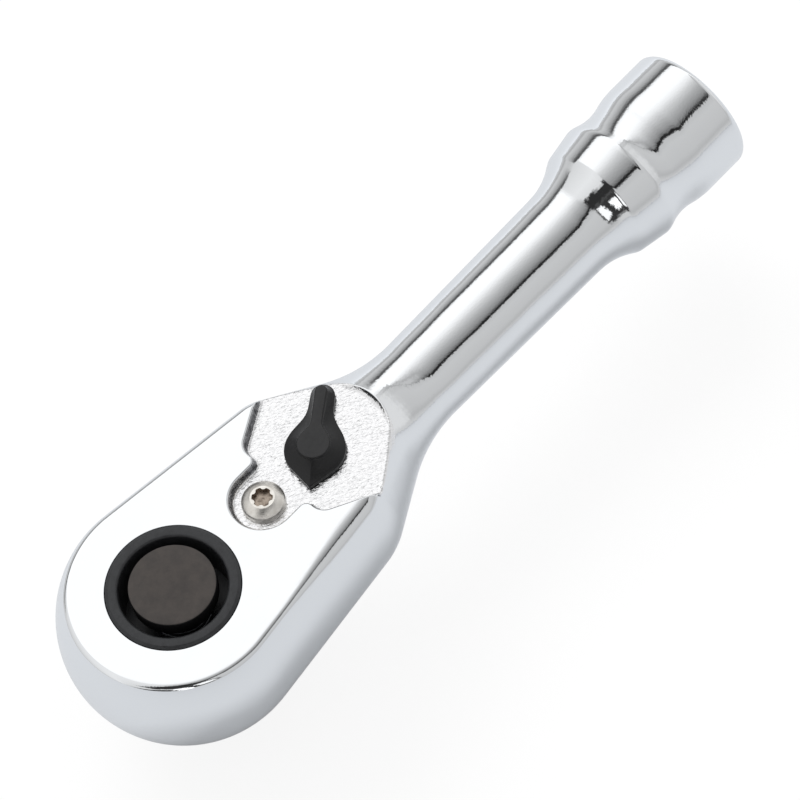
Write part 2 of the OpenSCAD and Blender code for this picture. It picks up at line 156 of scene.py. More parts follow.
def polygon_distance(x: Array, y: Array, outline: Array) -> Array:
    """The distance of each point from a closed outline, positive inside it.

    Args:
        x: the points' x.
        y: the points' y.
        outline: the outline's corners in order.

    Returns:
        The distance of each point.
    """
    a, b = outline, np.roll(outline, -1, axis=0)
    nearest = np.full(x.shape, 1e9)
    inside = np.zeros(x.shape, bool)
    for (ax, ay), (bx, by) in zip(a, b):
        ex, ey = bx - ax, by - ay
        share = np.clip(((x - ax) * ex + (y - ay) * ey) / max(ex * ex + ey * ey, 1e-12), 0, 1)
        nearest = np.minimum(nearest, np.hypot(x - ax - share * ex, y - ay - share * ey))
        if ay != by:
            inside ^= ((ay > y) != (by > y)) & (x < ax + (y - ay) * ex / ey)
    return np.where(inside, nearest, -nearest)


class Grain:
    """A smooth random height over the plane, the same in every run."""

    CELLS: ClassVar[int] = 256
    SHIFT: ClassVar[int] = 400

    def __init__(self, cell: float, seed: int) -> None:
        """Takes the size of its grains in mm and a fixed seed."""
        self.cell = cell
        self.table = np.random.default_rng(seed).uniform(-1, 1, (self.CELLS, self.CELLS))

    def height(self, x: Array, y: Array) -> Array:
        """The height at each place.

        Args:
            x: places along X.
            y: places along Y.

        Returns:
            The heights, from about -1 to 1.
        """
        u, v = x / self.cell + self.SHIFT, y / self.cell + self.SHIFT
        i, j = np.floor(u).astype(int), np.floor(v).astype(int)
        s, t = u - i, v - j
        s, t = s * s * (3 - 2 * s), t * t * (3 - 2 * t)

        def row(q: int) -> Array:
            """The heights along one row of the table, blended along X."""
            here, there = (self.table[(i + p) % self.CELLS, (j + q) % self.CELLS]
                           for p in (0, 1))
            return here * (1 - s) + there * s

        return row(0) * (1 - t) + row(1) * t


# Mesh making

def new_object(name: str, points: Array, faces: Iterable[Sequence[int]]) -> bpy.types.Object:
    """Makes a mesh object from points in mm, with coinciding points welded and no loose parts.

    Args:
        name: the object's name.
        points: one row for each point.
        faces: the point numbers of each face.

    Returns:
        The object, linked to the scene, at the origin.
    """
    mesh = bpy.data.meshes.new(name)
    mesh.from_pydata((np.asarray(points) * MM).tolist(), [], [list(f) for f in faces])
    made = bmesh.new()
    made.from_mesh(mesh)
    bmesh.ops.remove_doubles(made, verts=made.verts, dist=WELD)
    bmesh.ops.dissolve_degenerate(made, edges=made.edges, dist=WELD / 4)
    bmesh.ops.recalc_face_normals(made, faces=made.faces)
    made.to_mesh(mesh)
    made.free()
    piece = bpy.data.objects.new(name, mesh)
    bpy.context.scene.collection.objects.link(piece)
    return piece


def grid_faces(rows: int, columns: int, closed: bool) -> list[tuple[int, int, int, int]]:
    """The quads of a grid of points in rows, which are rings where closed is true."""
    last = columns if closed else columns - 1
    return [(i * columns + j, i * columns + (j + 1) % columns,
             (i + 1) * columns + (j + 1) % columns, (i + 1) * columns + j)
            for i in range(rows - 1) for j in range(last)]


def lofted(name: str, rings: Array) -> bpy.types.Object:
    """Skins rings of points into one closed body, with a point in the middle of each end.

    Args:
        name: the object's name.
        rings: an array of rings, by points, by x, y and z.

    Returns:
        The object.
    """
    rows, columns = rings.shape[:2]
    points = [rings.reshape(-1, 3), rings[:1].mean(axis=1), rings[-1:].mean(axis=1)]
    first, last = rows * columns, rows * columns + 1
    faces: list[tuple[int, ...]] = list(grid_faces(rows, columns, True))
    for j in range(columns):
        k = (j + 1) % columns
        faces.append((first, k, j))
        faces.append((last, (rows - 1) * columns + j, (rows - 1) * columns + k))
    return new_object(name, np.vstack(points), faces)


def turned(name: str, profile: Array, sides: int = 160,
           centre: Point2 = (0, 0)) -> bpy.types.Object:
    """Turns a profile of radius and height about an upright axis.

    Args:
        name: the object's name.
        profile: rows of radius and height, from one end to the other.
        sides: how many points go round.
        centre: where the axis stands.

    Returns:
        The object, closed at both ends.
    """
    around = np.linspace(0, 2 * math.pi, sides, endpoint=False)
    r, z = profile[:, :1], profile[:, 1:]
    rings = np.stack([centre[0] + r * np.cos(around), centre[1] + r * np.sin(around),
                      z + 0 * around], axis=-1)
    return lofted(name, rings)


def prism(name: str, outline: Array, low: float, high: float) -> bpy.types.Object:
    """Raises a closed outline into a body with flat ends.

    Args:
        name: the object's name.
        outline: the outline's corners in order.
        low: the height of its lower end.
        high: the height of its upper end.

    Returns:
        The object.
    """
    count = len(outline)
    points = np.vstack([np.column_stack([outline, np.full(count, z)]) for z in (low, high)])
    faces = grid_faces(2, count, True) + [tuple(range(count)), tuple(range(count, 2 * count))]
    return new_object(name, points, faces)


class Cut(Enum):
    """What a boolean does with the other bodies."""

    AWAY = "DIFFERENCE"
    TOGETHER = "UNION"


def combine(piece: bpy.types.Object, others: Sequence[bpy.types.Object], cut: Cut) -> None:
    """Cuts other bodies away from a piece, or joins them to it, and deletes them.

    Args:
        piece: the body that stays.
        others: the bodies that are used up.
        cut: whether they are cut away or joined.
    """
    for other in others:
        step = piece.modifiers.new("boolean", "BOOLEAN")
        step.operation, step.object, step.solver = cut.value, other, "EXACT"
        evaluated = piece.evaluated_get(bpy.context.evaluated_depsgraph_get())
        result = bpy.data.meshes.new_from_object(evaluated)
        piece.modifiers.remove(step)
        piece.data = result
        bpy.data.objects.remove(other)


def smooth_by_angle(piece: bpy.types.Object, degrees: float = 30) -> None:
    """Shades a piece smooth, apart from its sharp edges.

    Args:
        piece: the piece.
        degrees: the turn from which an edge counts as sharp.
    """
    made = bmesh.new()
    made.from_mesh(piece.data)
    for face in made.faces:
        face.smooth = True
    for edge in made.edges:
        edge.smooth = len(edge.link_faces) == 2 and edge.calc_face_angle(0) < math.radians(degrees)
    made.to_mesh(piece.data)
    made.free()


def set_normals(piece: bpy.types.Object, field: Field,
                within: Callable[[Array], Array]) -> None:
    """Gives corners of a smooth piece that lie on a field's surface that surface's own normals.

    Args:
        piece: the piece, already shaded smooth by angle.
        field: the field whose zero is the surface, in mm.
        within: says of rows of points which of them the field is true for.
    """
    # A corner is on the surface within this many mm, where both slopes agree at least this well.
    step, alike = 0.004, 0.6
    mesh = piece.data
    points = np.empty(len(mesh.vertices) * 3)
    mesh.vertices.foreach_get("co", points)
    points = points.reshape(-1, 3) / MM
    slope = np.stack([field(*(points + step * axis).T) - field(*(points - step * axis).T)
                      for axis in np.eye(3)], axis=1)
    slope /= np.maximum(np.linalg.norm(slope, axis=1, keepdims=True), 1e-12)
    near = (np.abs(field(*points.T)) < step) & within(points)
    corner = np.empty(len(mesh.loops), int)
    mesh.loops.foreach_get("vertex_index", corner)
    owner = np.repeat(np.arange(len(mesh.polygons)), [p.loop_total for p in mesh.polygons])
    flat = np.empty(len(mesh.polygons) * 3)
    mesh.polygons.foreach_get("normal", flat)
    flat = flat.reshape(-1, 3)
    normals = np.empty(len(mesh.loops) * 3)
    mesh.corner_normals.foreach_get("vector", normals)
    normals = normals.reshape(-1, 3)
    agrees = near[corner] & (np.einsum("ij,ij->i", slope[corner], flat[owner]) > alike)
    whole = np.ones(len(mesh.polygons), bool)
    np.logical_and.at(whole, owner, agrees)
    use = whole[owner]
    normals[use] = slope[corner[use]]
    mesh.normals_split_custom_set(normals.tolist())


# Shared sizes

@dataclass(frozen=True)
class Layout:
    """Places and heights that several pieces share, in mm."""

    head_z0: float = 0.6
    head_z1: float = 18.2
    floor_z: float = 16.65
    cover_z1: float = 3.7
    ring_z: float = 1.2
    gear_z: float = 3.75
    roof_z: float = 12.45
    chamber_z: float = 4.75
    chamber_z1: float = 11.35
    pivot_x: float = 16.9
    lever_x: float = 26.8
    lever_swing: float = 36
    tip_r: float = 10.6
    hub_r: float = 8.97
    seat_r: float = 8.3
    cover_r: float = 12.6
    spindle_r: float = 3.3
    spindle_z: float = 2.55
    shank_r: float = 1.5
    shank_z: float = 1.6
    run: float = 0.05

    @property
    def axis_z(self) -> float:
        """The height of the handle's own axis."""
        return (self.head_z0 + self.head_z1) / 2


# Housing

@dataclass
class Housing:
    """The forging: head, shoulder, bar, collar and end barrel, with the lever pocket cut in."""

    # Depths below the flat top, and insets from its edge, at which the cap has a line of points.
    CAP_DROPS: ClassVar[tuple[float, ...]] = (
        1.75, 1.62, 1.55, 1.48, 1.38, 1.2, 0.95, 0.7, 0.5, 0.38, 0.28, 0.2, 0.13, 0.08, 0.04,
        0.015)
    CAP_INSETS: ClassVar[tuple[float, ...]] = (0.55, 0.8, 1.1, 1.4, 1.7)
    # Distances inside the pocket's rim at which it has one: the rim's edge, the wall, its foot.
    RIM_LINES: ClassVar[tuple[float, ...]] = (
        -0.24, -0.16, -0.1, -0.05, 0.0, 0.05, 0.1, 0.17, 0.26, 0.36, 0.44, 0.52, 0.62, 0.74, 0.9)
    # Where the rings stand that close the handle's flat end, as shares of its radius.
    END_SHARES: ClassVar[tuple[float, ...]] = (0.93, 0.8, 0.6, 0.4, 0.2, 0.0)
    # Further out than the skin is anywhere, and deep enough outside the pocket's rim.
    FAR: ClassVar[float] = 40.0
    OFF_RIM: ClassVar[float] = -12.0
    # Where along the handle the pocket's field is worked out.
    POCKET_SPAN: ClassVar[tuple[float, float]] = (11.5, 39.0)

    layout: Layout
    nose_r: float = 14.4
    side_bulge: float = 2.4
    side_taper: float = 7.3
    neck_r: float = 6.27
    grip_r: float = 6.82
    shoulder_slope: float = 28.5
    shoulder_x: float = 28
    shoulder_blend: float = 22
    shoulder_inset: float = 0.25
    shoulder_lead: float = 8
    reach: float = 101.6
    barrel_r: float = 9.62
    barrel_l: float = 8.4
    barrel_fillet: float = 12
    waist_l: float = 7.1
    waist_depth: float = 0.95
    waist_at: float = 0.45
    waist_fillet: float = 8
    crest_proud: float = 0.03
    crest_fillet: float = 2.2
    collar_l: float = 4.8
    collar_r: float = 8.85
    collar_fillet: float = 2.4
    flare_l: float = 3.5
    flare_fillet: float = 11
    end_rim: float = 1.1
    bay_r: float = 4.6
    bay_fillet: float = 1.0
    pocket_x: float = 20.3
    pocket_fillet: float = 2.4
    pocket_shoulder: float = 7.3
    pocket_splay: float = 29
    pocket_end_r: float = 11.1
    pocket_draft: float = 16
    flat_edge: float = 0.5
    flat_edge_worn: float = 1.35
    worn_x: float = 6
    worn_l: float = 15
    shoulder_edge: float = 0.55
    rim_edge: float = 0.2
    foot_edge: float = 0.34
    end_foot_edge: float = 0.62
    grain_size: float = 0.42
    grain_height: float = 0.014
    seal_above: float = 1.6
    seal_w: float = 0.9
    ring_bite: float = 0.5
    tip_clear: float = 0.25
    sweep_r: float = 14.2
    sweep: float = 57
    boss_well_r: float = 5.3
    screw_seal_r: float = 2.51
    split_below: float = 2.0
    grid_pitch: float = 0.27
    head_pitch: float = 1.1
    shoulder_pitch: float = 0.34
    neck_pitch: float = 0.36
    grip_pitch: float = 1.25
    nodes_fan: int = 46
    nodes_side: int = 42
    nodes_edge: int = 9
    nodes_flat: int = 22

    def __post_init__(self) -> None:
        """Works out what the other sizes depend on."""
        lay = self.layout
        self.head_h = lay.head_z1 - lay.head_z0
        self.widest_r = self.nose_r + self.side_bulge
        self.arc_r = ((self.head_h / 2) ** 2 + self.side_bulge ** 2) / (2 * self.side_bulge)
        self.taper = math.radians(self.side_taper)
        slope = math.tan(math.radians(self.shoulder_slope))
        shoulder_r = (self.widest_r / math.cos(self.taper)
                      - self.shoulder_x * math.tan(self.taper) - self.shoulder_inset)
        self.neck_x = self.shoulder_x + (shoulder_r - self.neck_r) / slope
        barrel_x = self.reach - self.barrel_l
        crest_x = barrel_x - self.waist_l
        collar_x = crest_x - self.collar_l
        self.flare_x = collar_x - self.flare_l
        start_x = self.shoulder_x - self.shoulder_lead / slope
        outline = rounded([
            (start_x, shoulder_r + self.shoulder_lead, 0),
            (self.neck_x, self.neck_r, self.shoulder_blend),
            (self.flare_x, self.grip_r, self.flare_fillet),
            (collar_x, self.collar_r, self.collar_fillet),
            (crest_x, self.barrel_r + self.crest_proud, self.crest_fillet),
            (crest_x + self.waist_at * self.waist_l, self.barrel_r - self.waist_depth,
             self.waist_fillet),
            (barrel_x, self.barrel_r, self.barrel_fillet),
            (self.reach, self.barrel_r, self.end_rim), (self.reach, 0, 0), (start_x, 0, 0)])
        self.bar = outline[:-2]
        self.bar[-1, 0] = self.reach
        apart = self.bar[:, 0] + 1e-9 * np.arange(len(self.bar))
        self.bar_cos = np.cos(np.arctan(np.gradient(self.bar[:, 1], apart)))
        self.grain = Grain(self.grain_size, 11)
        self.fine_grain = Grain(self.grain_size / 2.2, 12)
        self.split_z = lay.head_z1 - self.split_below
        self.rim = self.pocket_outline()
        self.tip_x = float(crossing(lambda x: self.split_z - lay.axis_z - self.bar_radius(x),
                                    np.array([30.0]), np.array([self.neck_x + 6]))[0])

    def bar_radius(self, x: Array) -> Array:
        """The turned bar's radius at each place along the handle."""
        return np.interp(x, self.bar[:, 0], self.bar[:, 1])

    def outer(self, x: Array, y: Array, z: Array) -> Array:
        """The field of the forging before the pocket is cut: slab head and turned bar together.

        Args:
            x: places along the handle.
            y: places across it.
            z: heights.

        Returns:
            About the distance from the skin, negative inside.
        """
        up = z - self.layout.axis_z
        s, c = math.sin(self.taper), math.cos(self.taper)
        across = np.abs(y)
        out = np.where(x * c - across * s >= 0, x * s + across * c, np.hypot(x, y))
        side = np.hypot(out - (self.widest_r - self.arc_r), up) - self.arc_r
        along = np.clip((x - self.worn_x) / self.worn_l, 0, 1)
        worn = (self.flat_edge_worn - self.flat_edge) * along * along * (3 - 2 * along)
        edge = self.flat_edge + np.where((up > 0) & (y < 0), worn, 0)
        blank = meet(side, np.abs(up) - self.head_h / 2, edge)
        bar = np.hypot(y, up) - self.bar_radius(x)
        bar = bar * np.interp(x, self.bar[:, 0], self.bar_cos)
        return np.where(x < self.neck_x + 2, meet(blank, bar, self.shoulder_edge), bar)

    def pocket_outline(self) -> Array:
        """The pocket's rim in plan, apart from its round end at the handle.

        Returns:
            The outline's points.
        """
        exit_x = self.shoulder_x + 1
        exit_y = (self.pocket_shoulder
                  + (exit_x - self.pocket_x) * math.tan(math.radians(self.pocket_splay)))
        bay = self.layout.pivot_x - self.bay_r
        half = [(bay, self.bay_r, self.bay_r - 0.01),
                (self.pocket_x, self.bay_r, self.bay_fillet),
                (self.pocket_x, self.pocket_shoulder, self.pocket_fillet), (exit_x, exit_y, 0)]
        return rounded([(x, -y, r) for x, y, r in half] + half[::-1], 6)

    def rim_distance(self, x: Array, y: Array) -> Array:
        """How far each place is inside the pocket's rim.

        Args:
            x: places along the handle.
            y: places across it.

        Returns:
            The distances, negative outside the rim.
        """
        lay = self.layout
        end = np.minimum(self.pocket_end_r - np.hypot(x - lay.lever_x, y), x - lay.lever_x)
        found = np.maximum(end, self.OFF_RIM)
        near = (x > 10) & (x < self.shoulder_x + 2)
        found[near] = np.maximum(end[near], polygon_distance(x[near], y[near], self.rim))
        return found

    def surface(self, x: Array, y: Array, z: Array) -> Array:
        """The field of the forging with its pocket, drafted walls and grained floor included.

        Args:
            x: places along the handle.
            y: places across it.
            z: heights.

        Returns:
            About the distance from the skin, negative inside.
        """
        lay = self.layout
        skin = self.outer(x, y, z)
        first, last = self.POCKET_SPAN
        near = (z > lay.floor_z - 1) & (x > first) & (x < last)
        if not near.any():
            return skin
        px, py, pz = x[near], y[near], z[near]
        draft = math.radians(self.pocket_draft)
        wall = ((lay.head_z1 - pz) * math.tan(draft) - self.rim_distance(px, py)) * math.cos(draft)
        rough = self.grain.height(px, py) + 0.5 * self.fine_grain.height(px, py)
        floor = lay.floor_z + self.grain_height * rough - pz
        foot = np.interp(px, (lay.lever_x + 3, lay.lever_x + 7), (self.foot_edge,
                                                                  self.end_foot_edge))
        pocket = meet(floor, wall, foot)
        skin[near] = meet(skin[near], -pocket, self.rim_edge)
        return skin

    def stations(self) -> tuple[Array, Array]:
        """Where the half planes stand that the skin is measured in.

        Returns:
            The place of each on the handle's axis, and the direction that it faces in plan.
        """
        side = math.pi / 2 - self.taper
        fan = np.linspace(math.pi, side, self.nodes_fan)
        # The half planes crowd together towards the tip, where the split line ends.
        near_tip = self.tip_x - (np.array([5, 4, 3, 2, 1, 0]) * 0.2) ** 2
        shoulder = np.arange(22.4, near_tip[0] - 0.2, self.shoulder_pitch)
        places = np.concatenate([
            np.arange(1.0, 22.2, self.head_pitch), shoulder, near_tip,
            np.arange(self.tip_x + 0.3, self.neck_x + 6, self.neck_pitch),
            np.arange(self.neck_x + 6.6, self.flare_x - 1.5, self.grip_pitch),
            self.bar[(self.bar[:, 0] > self.flare_x - 1.3)][:, 0]])
        places = np.unique(np.round(places, 5))
        places = places[np.concatenate([[True], np.diff(places) > 0.02])]
        places[-1] = self.reach
        turn = np.clip((places - 22) / 19, 0, 1)
        facing = side + self.taper * turn * turn * (3 - 2 * turn)
        return np.concatenate([np.zeros(len(fan)), places]), np.concatenate([fan, facing])

    def level(self, z: float, at: Array, facing: Array) -> Array:
        """How far out the skin is at a height, in each half plane."""
        height = np.full(at.shape, float(z))
        return crossing(lambda t: self.outer(at + t * np.cos(facing), t * np.sin(facing), height),
                        np.zeros(at.shape), np.full(at.shape, self.FAR))

    def lower_skin(self, at: Array, facing: Array) -> Array:
        """The skin below the split, as half sections from the split round to the underside.

        Args:
            at: the place of each half plane.
            facing: the direction of each half plane.

        Returns:
            Points by half plane, by place round the section, by x, y and z.
        """
        rise = self.split_z - self.layout.axis_z
        capped = at < self.tip_x - 1e-4
        first = np.full(at.shape, math.pi / 2)
        first[capped] = np.arctan2(rise, self.level(self.split_z, at[capped], facing[capped]))
        s, c = math.sin(self.taper), math.cos(self.taper)
        edge = np.where(at > 0, (self.nose_r - at * s)
                        / (np.cos(facing) * s + np.sin(facing) * c), self.nose_r)
        edge = np.maximum(edge, 5)
        # Points stand closer round the lower edge, from inside it to above and outside it.
        half, inside, above, outside = self.head_h / 2, 0.62, 0.75, 0.38
        inner, outer = -np.arctan2(half, edge - inside), -np.arctan2(half - above, edge + outside)

        def span(a: Array, b: Array, count: int, last: bool = False) -> Array:
            """Even steps from a to b in each half plane, with b itself where last is true."""
            return a[:, None] + (b - a)[:, None] * np.linspace(0, 1, count, endpoint=last)[None, :]

        down = np.full(at.shape, -math.pi / 2)
        tilt = np.concatenate([span(first, outer, self.nodes_side),
                               span(outer, inner, self.nodes_edge),
                               span(inner, down, self.nodes_flat, True)], axis=1)
        flat, bx = np.cos(tilt), at[:, None]
        dx, dy, dz = flat * np.cos(facing)[:, None], flat * np.sin(facing)[:, None], np.sin(tilt)
        reach = crossing(lambda t: self.outer(bx + t * dx, t * dy, self.layout.axis_z + t * dz),
                         np.zeros(tilt.shape), np.full(tilt.shape, self.FAR))
        points = np.stack([bx + reach * dx, reach * dy, self.layout.axis_z + reach * dz], axis=-1)
        points[np.abs(tilt) > math.pi / 2 - 1e-9, 1] = 0
        points[capped, 0, 2] = self.split_z
        return points

    def end_rings(self, last: Array) -> Array:
        """Rings that close the handle's flat end.

        Args:
            last: the skin's last section, at the end's rim.

        Returns:
            Sections from the rim to the middle.
        """
        middle = np.array([self.reach, 0, self.layout.axis_z])
        return middle + (last[None] - middle) * np.array(self.END_SHARES)[:, None, None]

    def pocket_rings(self) -> list[Array]:
        """Lines beside the pocket's rim and at the foot of its walls, where the surface bends.

        Returns:
            The lines' points in plan.
        """
        lines: list[Array] = []
        rim = densified(self.rim, 0.35)
        ahead, behind = np.roll(rim, -1, axis=0), np.roll(rim, 1, axis=0)
        along = ahead - behind
        along /= np.linalg.norm(along, axis=1, keepdims=True)
        inward = np.column_stack([-along[:, 1], along[:, 0]])
        # One point a little way along its normal tells whether they all point out.
        if polygon_distance(*(rim[3:4] + 0.01 * inward[3:4]).T, rim)[0] < 0:
            inward = -inward
        lay = self.layout
        for d in self.RIM_LINES:
            line = rim + d * inward
            keep = (line[:, 0] < self.shoulder_x + 0.95) & (np.abs(
                polygon_distance(line[:, 0], line[:, 1], rim) - d) < 0.01)
            lines += split_line(line, keep, True)
            a = np.linspace(-1.25, 1.25, 90)
            end = np.column_stack([lay.lever_x + (self.pocket_end_r - d) * np.cos(a),
                                   (self.pocket_end_r - d) * np.sin(a)])
            lines += split_line(end, end[:, 0] > self.shoulder_x + 1.05, False)
        return lines

    def cap(self, at: Array, facing: Array, border: Array) -> tuple[Array, list[Sequence[int]]]:
        """The top of the head above the split, as one height over the plan.

        Args:
            at: the place of each half plane.
            facing: the direction of each half plane.
            border: the closed line in plan that the lower skin ends on.

        Returns:
            The cap's points and its triangles.
        """
        lay = self.layout
        capped = at < self.tip_x - 0.3
        bx, way = at[capped], facing[capped]
        reaches = [self.level(lay.head_z1 - d, bx, way) for d in self.CAP_DROPS]
        s, c = math.sin(self.taper), math.cos(self.taper)
        inner = [np.where(bx > 0, (self.nose_r - inset - bx * s)
                          / (np.cos(way) * s + np.sin(way) * c), self.nose_r - inset)
                 for inset in self.CAP_INSETS]
        lines: list[Array] = []
        for reach in reaches + inner:
            line = np.column_stack([bx + reach * np.cos(way), reach * np.sin(way)])
            keep = reach > 0.3
            lines += split_line(line, keep, False)
            lines += split_line(line * [1, -1], keep, False)
        lines += self.pocket_rings()
        # Between the lines, points stand on the pocket's floor and, less close, on the shoulder.
        low, half_width = 11, 17
        grid = hex_grid(low, self.tip_x, half_width, self.grid_pitch)
        depth = self.rim_distance(*grid.T)
        skin = self.height(grid, self.outer)
        floor = (depth > 0.95) & (skin > lay.floor_z + 0.12)
        slope = (depth < -0.4) & (skin < lay.head_z1 - 0.02) & (skin > self.split_z + 0.2)
        slope &= np.round(grid[:, 0] / self.grid_pitch * 2).astype(int) % 2 == 0
        lone = grid[floor | slope]
        points, edges = list(border), [(i, (i + 1) % len(border)) for i in range(len(border))]
        for line in lines:
            skin = self.height(line, self.outer)
            for part in split_line(line, skin > self.split_z + 0.07, False):
                start = len(points)
                points += list(part)
                edges += [(start + i, start + i + 1) for i in range(len(part) - 1)]
        points += list(lone)
        flat_points, _, triangles, *_ = delaunay_2d_cdt([Vector(p) for p in points], edges, [], 0,
                                                       1e-5, False)
        plan = np.array([tuple(p) for p in flat_points])
        middle = np.array([plan[list(t)].mean(axis=0) for t in triangles])
        kept = polygon_distance(middle[:, 0], middle[:, 1], border) > 0
        heights = self.height(plan, self.surface)
        rim = np.abs(polygon_distance(plan[:, 0], plan[:, 1], border)) < 1e-4
        heights[rim] = self.split_z
        return (np.column_stack([plan, heights]),
                [t for t, inside in zip(triangles, kept) if inside])

    def height(self, plan: Array, field: Field) -> Array:
        """The height of a field's surface over each place in plan."""
        x, y = plan[:, 0], plan[:, 1]
        return crossing(lambda z: field(x, y, z), np.full(x.shape, self.layout.axis_z + 3.0),
                        np.full(x.shape, self.layout.head_z1 + 0.02), 32)

    def cavities(self) -> list[bpy.types.Object]:
        """The bores, the ring's groove and the pawl's chamber.

        Returns:
            The bodies to cut away.
        """
        lay, run = self.layout, self.layout.run
        bore, plate, gear = lay.hub_r + run, lay.cover_r + run, lay.tip_r + self.tip_clear
        groove, width = plate + self.ring_bite + run, self.seal_w
        seal_z0 = lay.roof_z + self.seal_above - width / 2
        seal_z1 = seal_z0 + width
        core = turned("cut_core", np.array([
            (plate + 0.25, lay.head_z0 - 1), (plate + 0.25, lay.head_z0 - 0.01),
            (plate, lay.head_z0 + 0.24), (plate, lay.ring_z),
            (groove, lay.ring_z), (groove, lay.ring_z + 1), (plate, lay.ring_z + 1),
            (plate, lay.cover_z1), (gear, lay.cover_z1), (gear, lay.roof_z),
            (bore, lay.roof_z), (bore, seal_z0), (bore + width, seal_z0),
            (bore + width, seal_z1), (bore, seal_z1), (bore, lay.head_z1 - 0.1),
            (bore + 0.12, lay.head_z1 + 0.02), (bore + 0.12, lay.head_z1 + 3)]), 240)
        lever, pivot = (lay.lever_x, 0.0), (lay.pivot_x, 0.0)
        sector = np.vstack([[(0.0, 0.0)],
                            arc((0, 0), self.sweep_r, -self.sweep, self.sweep, 39)])
        flank = [(8, 8), (11.4, 8.4), (lay.pivot_x, 5.8), (lay.lever_x - 3, 5), (lay.lever_x, 5)]
        slot = np.array(flank + [(x, -y) for x, y in reversed(flank)], float)
        z0, z1, high = lay.chamber_z, lay.chamber_z1, 25.0

        def post(name: str, r: float, low: float, top: float, sides: int,
                 centre: Point2) -> bpy.types.Object:
            """A round upright cutter."""
            return turned(name, np.array([(r, low), (r, top)]), sides, centre)

        return [core, prism("cut_arms", sector, z0, z1), prism("cut_slot", slot, z0, z1),
                post("cut_well", self.boss_well_r, z0, z1, 96, lever),
                post("cut_spindle", lay.spindle_r + run, lay.spindle_z, high, 96, lever),
                post("cut_screw", lay.shank_r, lay.shank_z, high, 64, pivot),
                post("cut_seal", self.screw_seal_r, lay.floor_z - 0.6, high, 64, pivot)]

    def forging(self) -> bpy.types.Object:
        """Makes the whole forging, with its bores.

        Returns:
            The finished object, with the pocket's faces in its second and third materials.
        """
        at, facing = self.stations()
        half = self.lower_skin(at, facing)
        half = np.concatenate([half, self.end_rings(half[-1])])
        rows, columns = half.shape[:2]
        other = half * [1, -1, 1]
        faces = grid_faces(rows, columns, False)
        faces += [tuple(i + rows * columns for i in reversed(f)) for f in faces]
        capped = int(np.sum(at < self.tip_x - 1e-4))
        tip = half[capped, 0, :2]
        side = half[:capped, 0, :2]
        border = np.vstack([side, tip[None], (side * [1, -1])[:0:-1]])
        top, triangles = self.cap(at, facing, border)
        faces += [tuple(i + 2 * rows * columns for i in t) for t in triangles]
        piece = new_object("housing_forging", np.vstack([half.reshape(-1, 3),
                                                         other.reshape(-1, 3), top]), faces)
        LOG.info("forging skin: %d faces", len(piece.data.polygons))
        combine(piece, self.cavities(), Cut.AWAY)
        smooth_by_angle(piece)
        set_normals(piece, self.surface, lambda p: p[:, 0] < self.reach - self.end_rim - 0.05)
        self.mark_pocket(piece)
        return piece

    def build(self) -> None:
        """Builds and hands over the forging."""
        hand_over(self.forging(), Body.HOUSING, ["body"],
                  [POLISHED_CHROME, BLASTED_CHROME, SHADED_WALL_CHROME])

    def mark_pocket(self, piece: bpy.types.Object) -> None:
        """Puts the pocket's floor into the second material and its walls into the third.

        Args:
            piece: the finished forging.
        """
        centres = np.empty(len(piece.data.polygons) * 3)
        piece.data.polygons.foreach_get("center", centres)
        centres = centres.reshape(-1, 3) / MM
        normals = np.empty(len(piece.data.polygons) * 3)
        piece.data.polygons.foreach_get("normal", normals)
        # The floor is within this height of its middle, and the walls start this far above that.
        # A face is steep where its normal's Z is less than the last of these.
        floor_half, foot_h, lean = 0.6, 0.06, 0.6
        steep = normals.reshape(-1, 3)[:, 2] < lean
        rim = self.rim_distance(centres[:, 0], centres[:, 1])
        height = centres[:, 2] - self.layout.floor_z
        floor = (np.abs(height) < floor_half) & ~steep & (rim > 0.3)
        # The walls take the third material, whose darker tone is painted shade.
        wall = (height >= foot_h) & steep & (rim > -0.02) & (rim < 1.2)
        piece.data.polygons.foreach_set("material_index",
                                        np.where(floor, 1, np.where(wall, 2, 0)).astype(np.int32))


def densified(outline: Array, pitch: float) -> Array:
    """Adds points to a closed outline.

    Args:
        outline: the outline's corners in order.
        pitch: the most that neighbours may be apart.

    Returns:
        The outline with the new points.
    """
    found = []
    for a, b in zip(outline, np.roll(outline, -1, axis=0)):
        count = max(1, math.ceil(np.linalg.norm(b - a) / pitch))
        found.append(a + (b - a) * np.linspace(0, 1, count, endpoint=False)[:, None])
    return np.vstack(found)


def split_line(line: Array, keep: Array, closed: bool) -> list[Array]:
    """The runs of a line's points that are kept, each at least two points long.

    Args:
        line: the points in order.
        keep: which of them to keep.
        closed: whether the last point is followed by the first.

    Returns:
        The runs.
    """
    if closed and not keep.all() and keep.any():
        start = int(np.argmin(keep))
        line, keep = np.roll(line, -start, axis=0), np.roll(keep, -start)
    elif closed and keep.all():
        line, keep = np.vstack([line, line[:1]]), np.append(keep, True)
    runs, run = [], []
    for point, good in zip(line, keep):
        if good:
            run.append(point)
        elif run:
            runs.append(np.array(run))
            run = []
    if run:
        runs.append(np.array(run))
    return [r for r in runs if len(r) > 1]


def hex_grid(low: float, high: float, half_width: float, pitch: float) -> Array:
    """Evenly spread places, in rows along X whose neighbours are half a pitch apart.

    Args:
        low: the lowest x.
        high: the highest x.
        half_width: the largest distance from the X axis.
        pitch: the distance between neighbours.

    Returns:
        One row for each place.
    """
    row_pitch = pitch * 0.866
    rows = int(half_width / row_pitch)
    found = []
    for k in range(-rows, rows + 1):
        x = np.arange(low + (k % 2) * pitch / 2, high, pitch)
        found.append(np.column_stack([x, np.full(x.shape, k * row_pitch)]))
    return np.vstack(found)


# Node trees

MATH, RANGE, BLEND = "ShaderNodeMath", "ShaderNodeMapRange", "ShaderNodeMix"


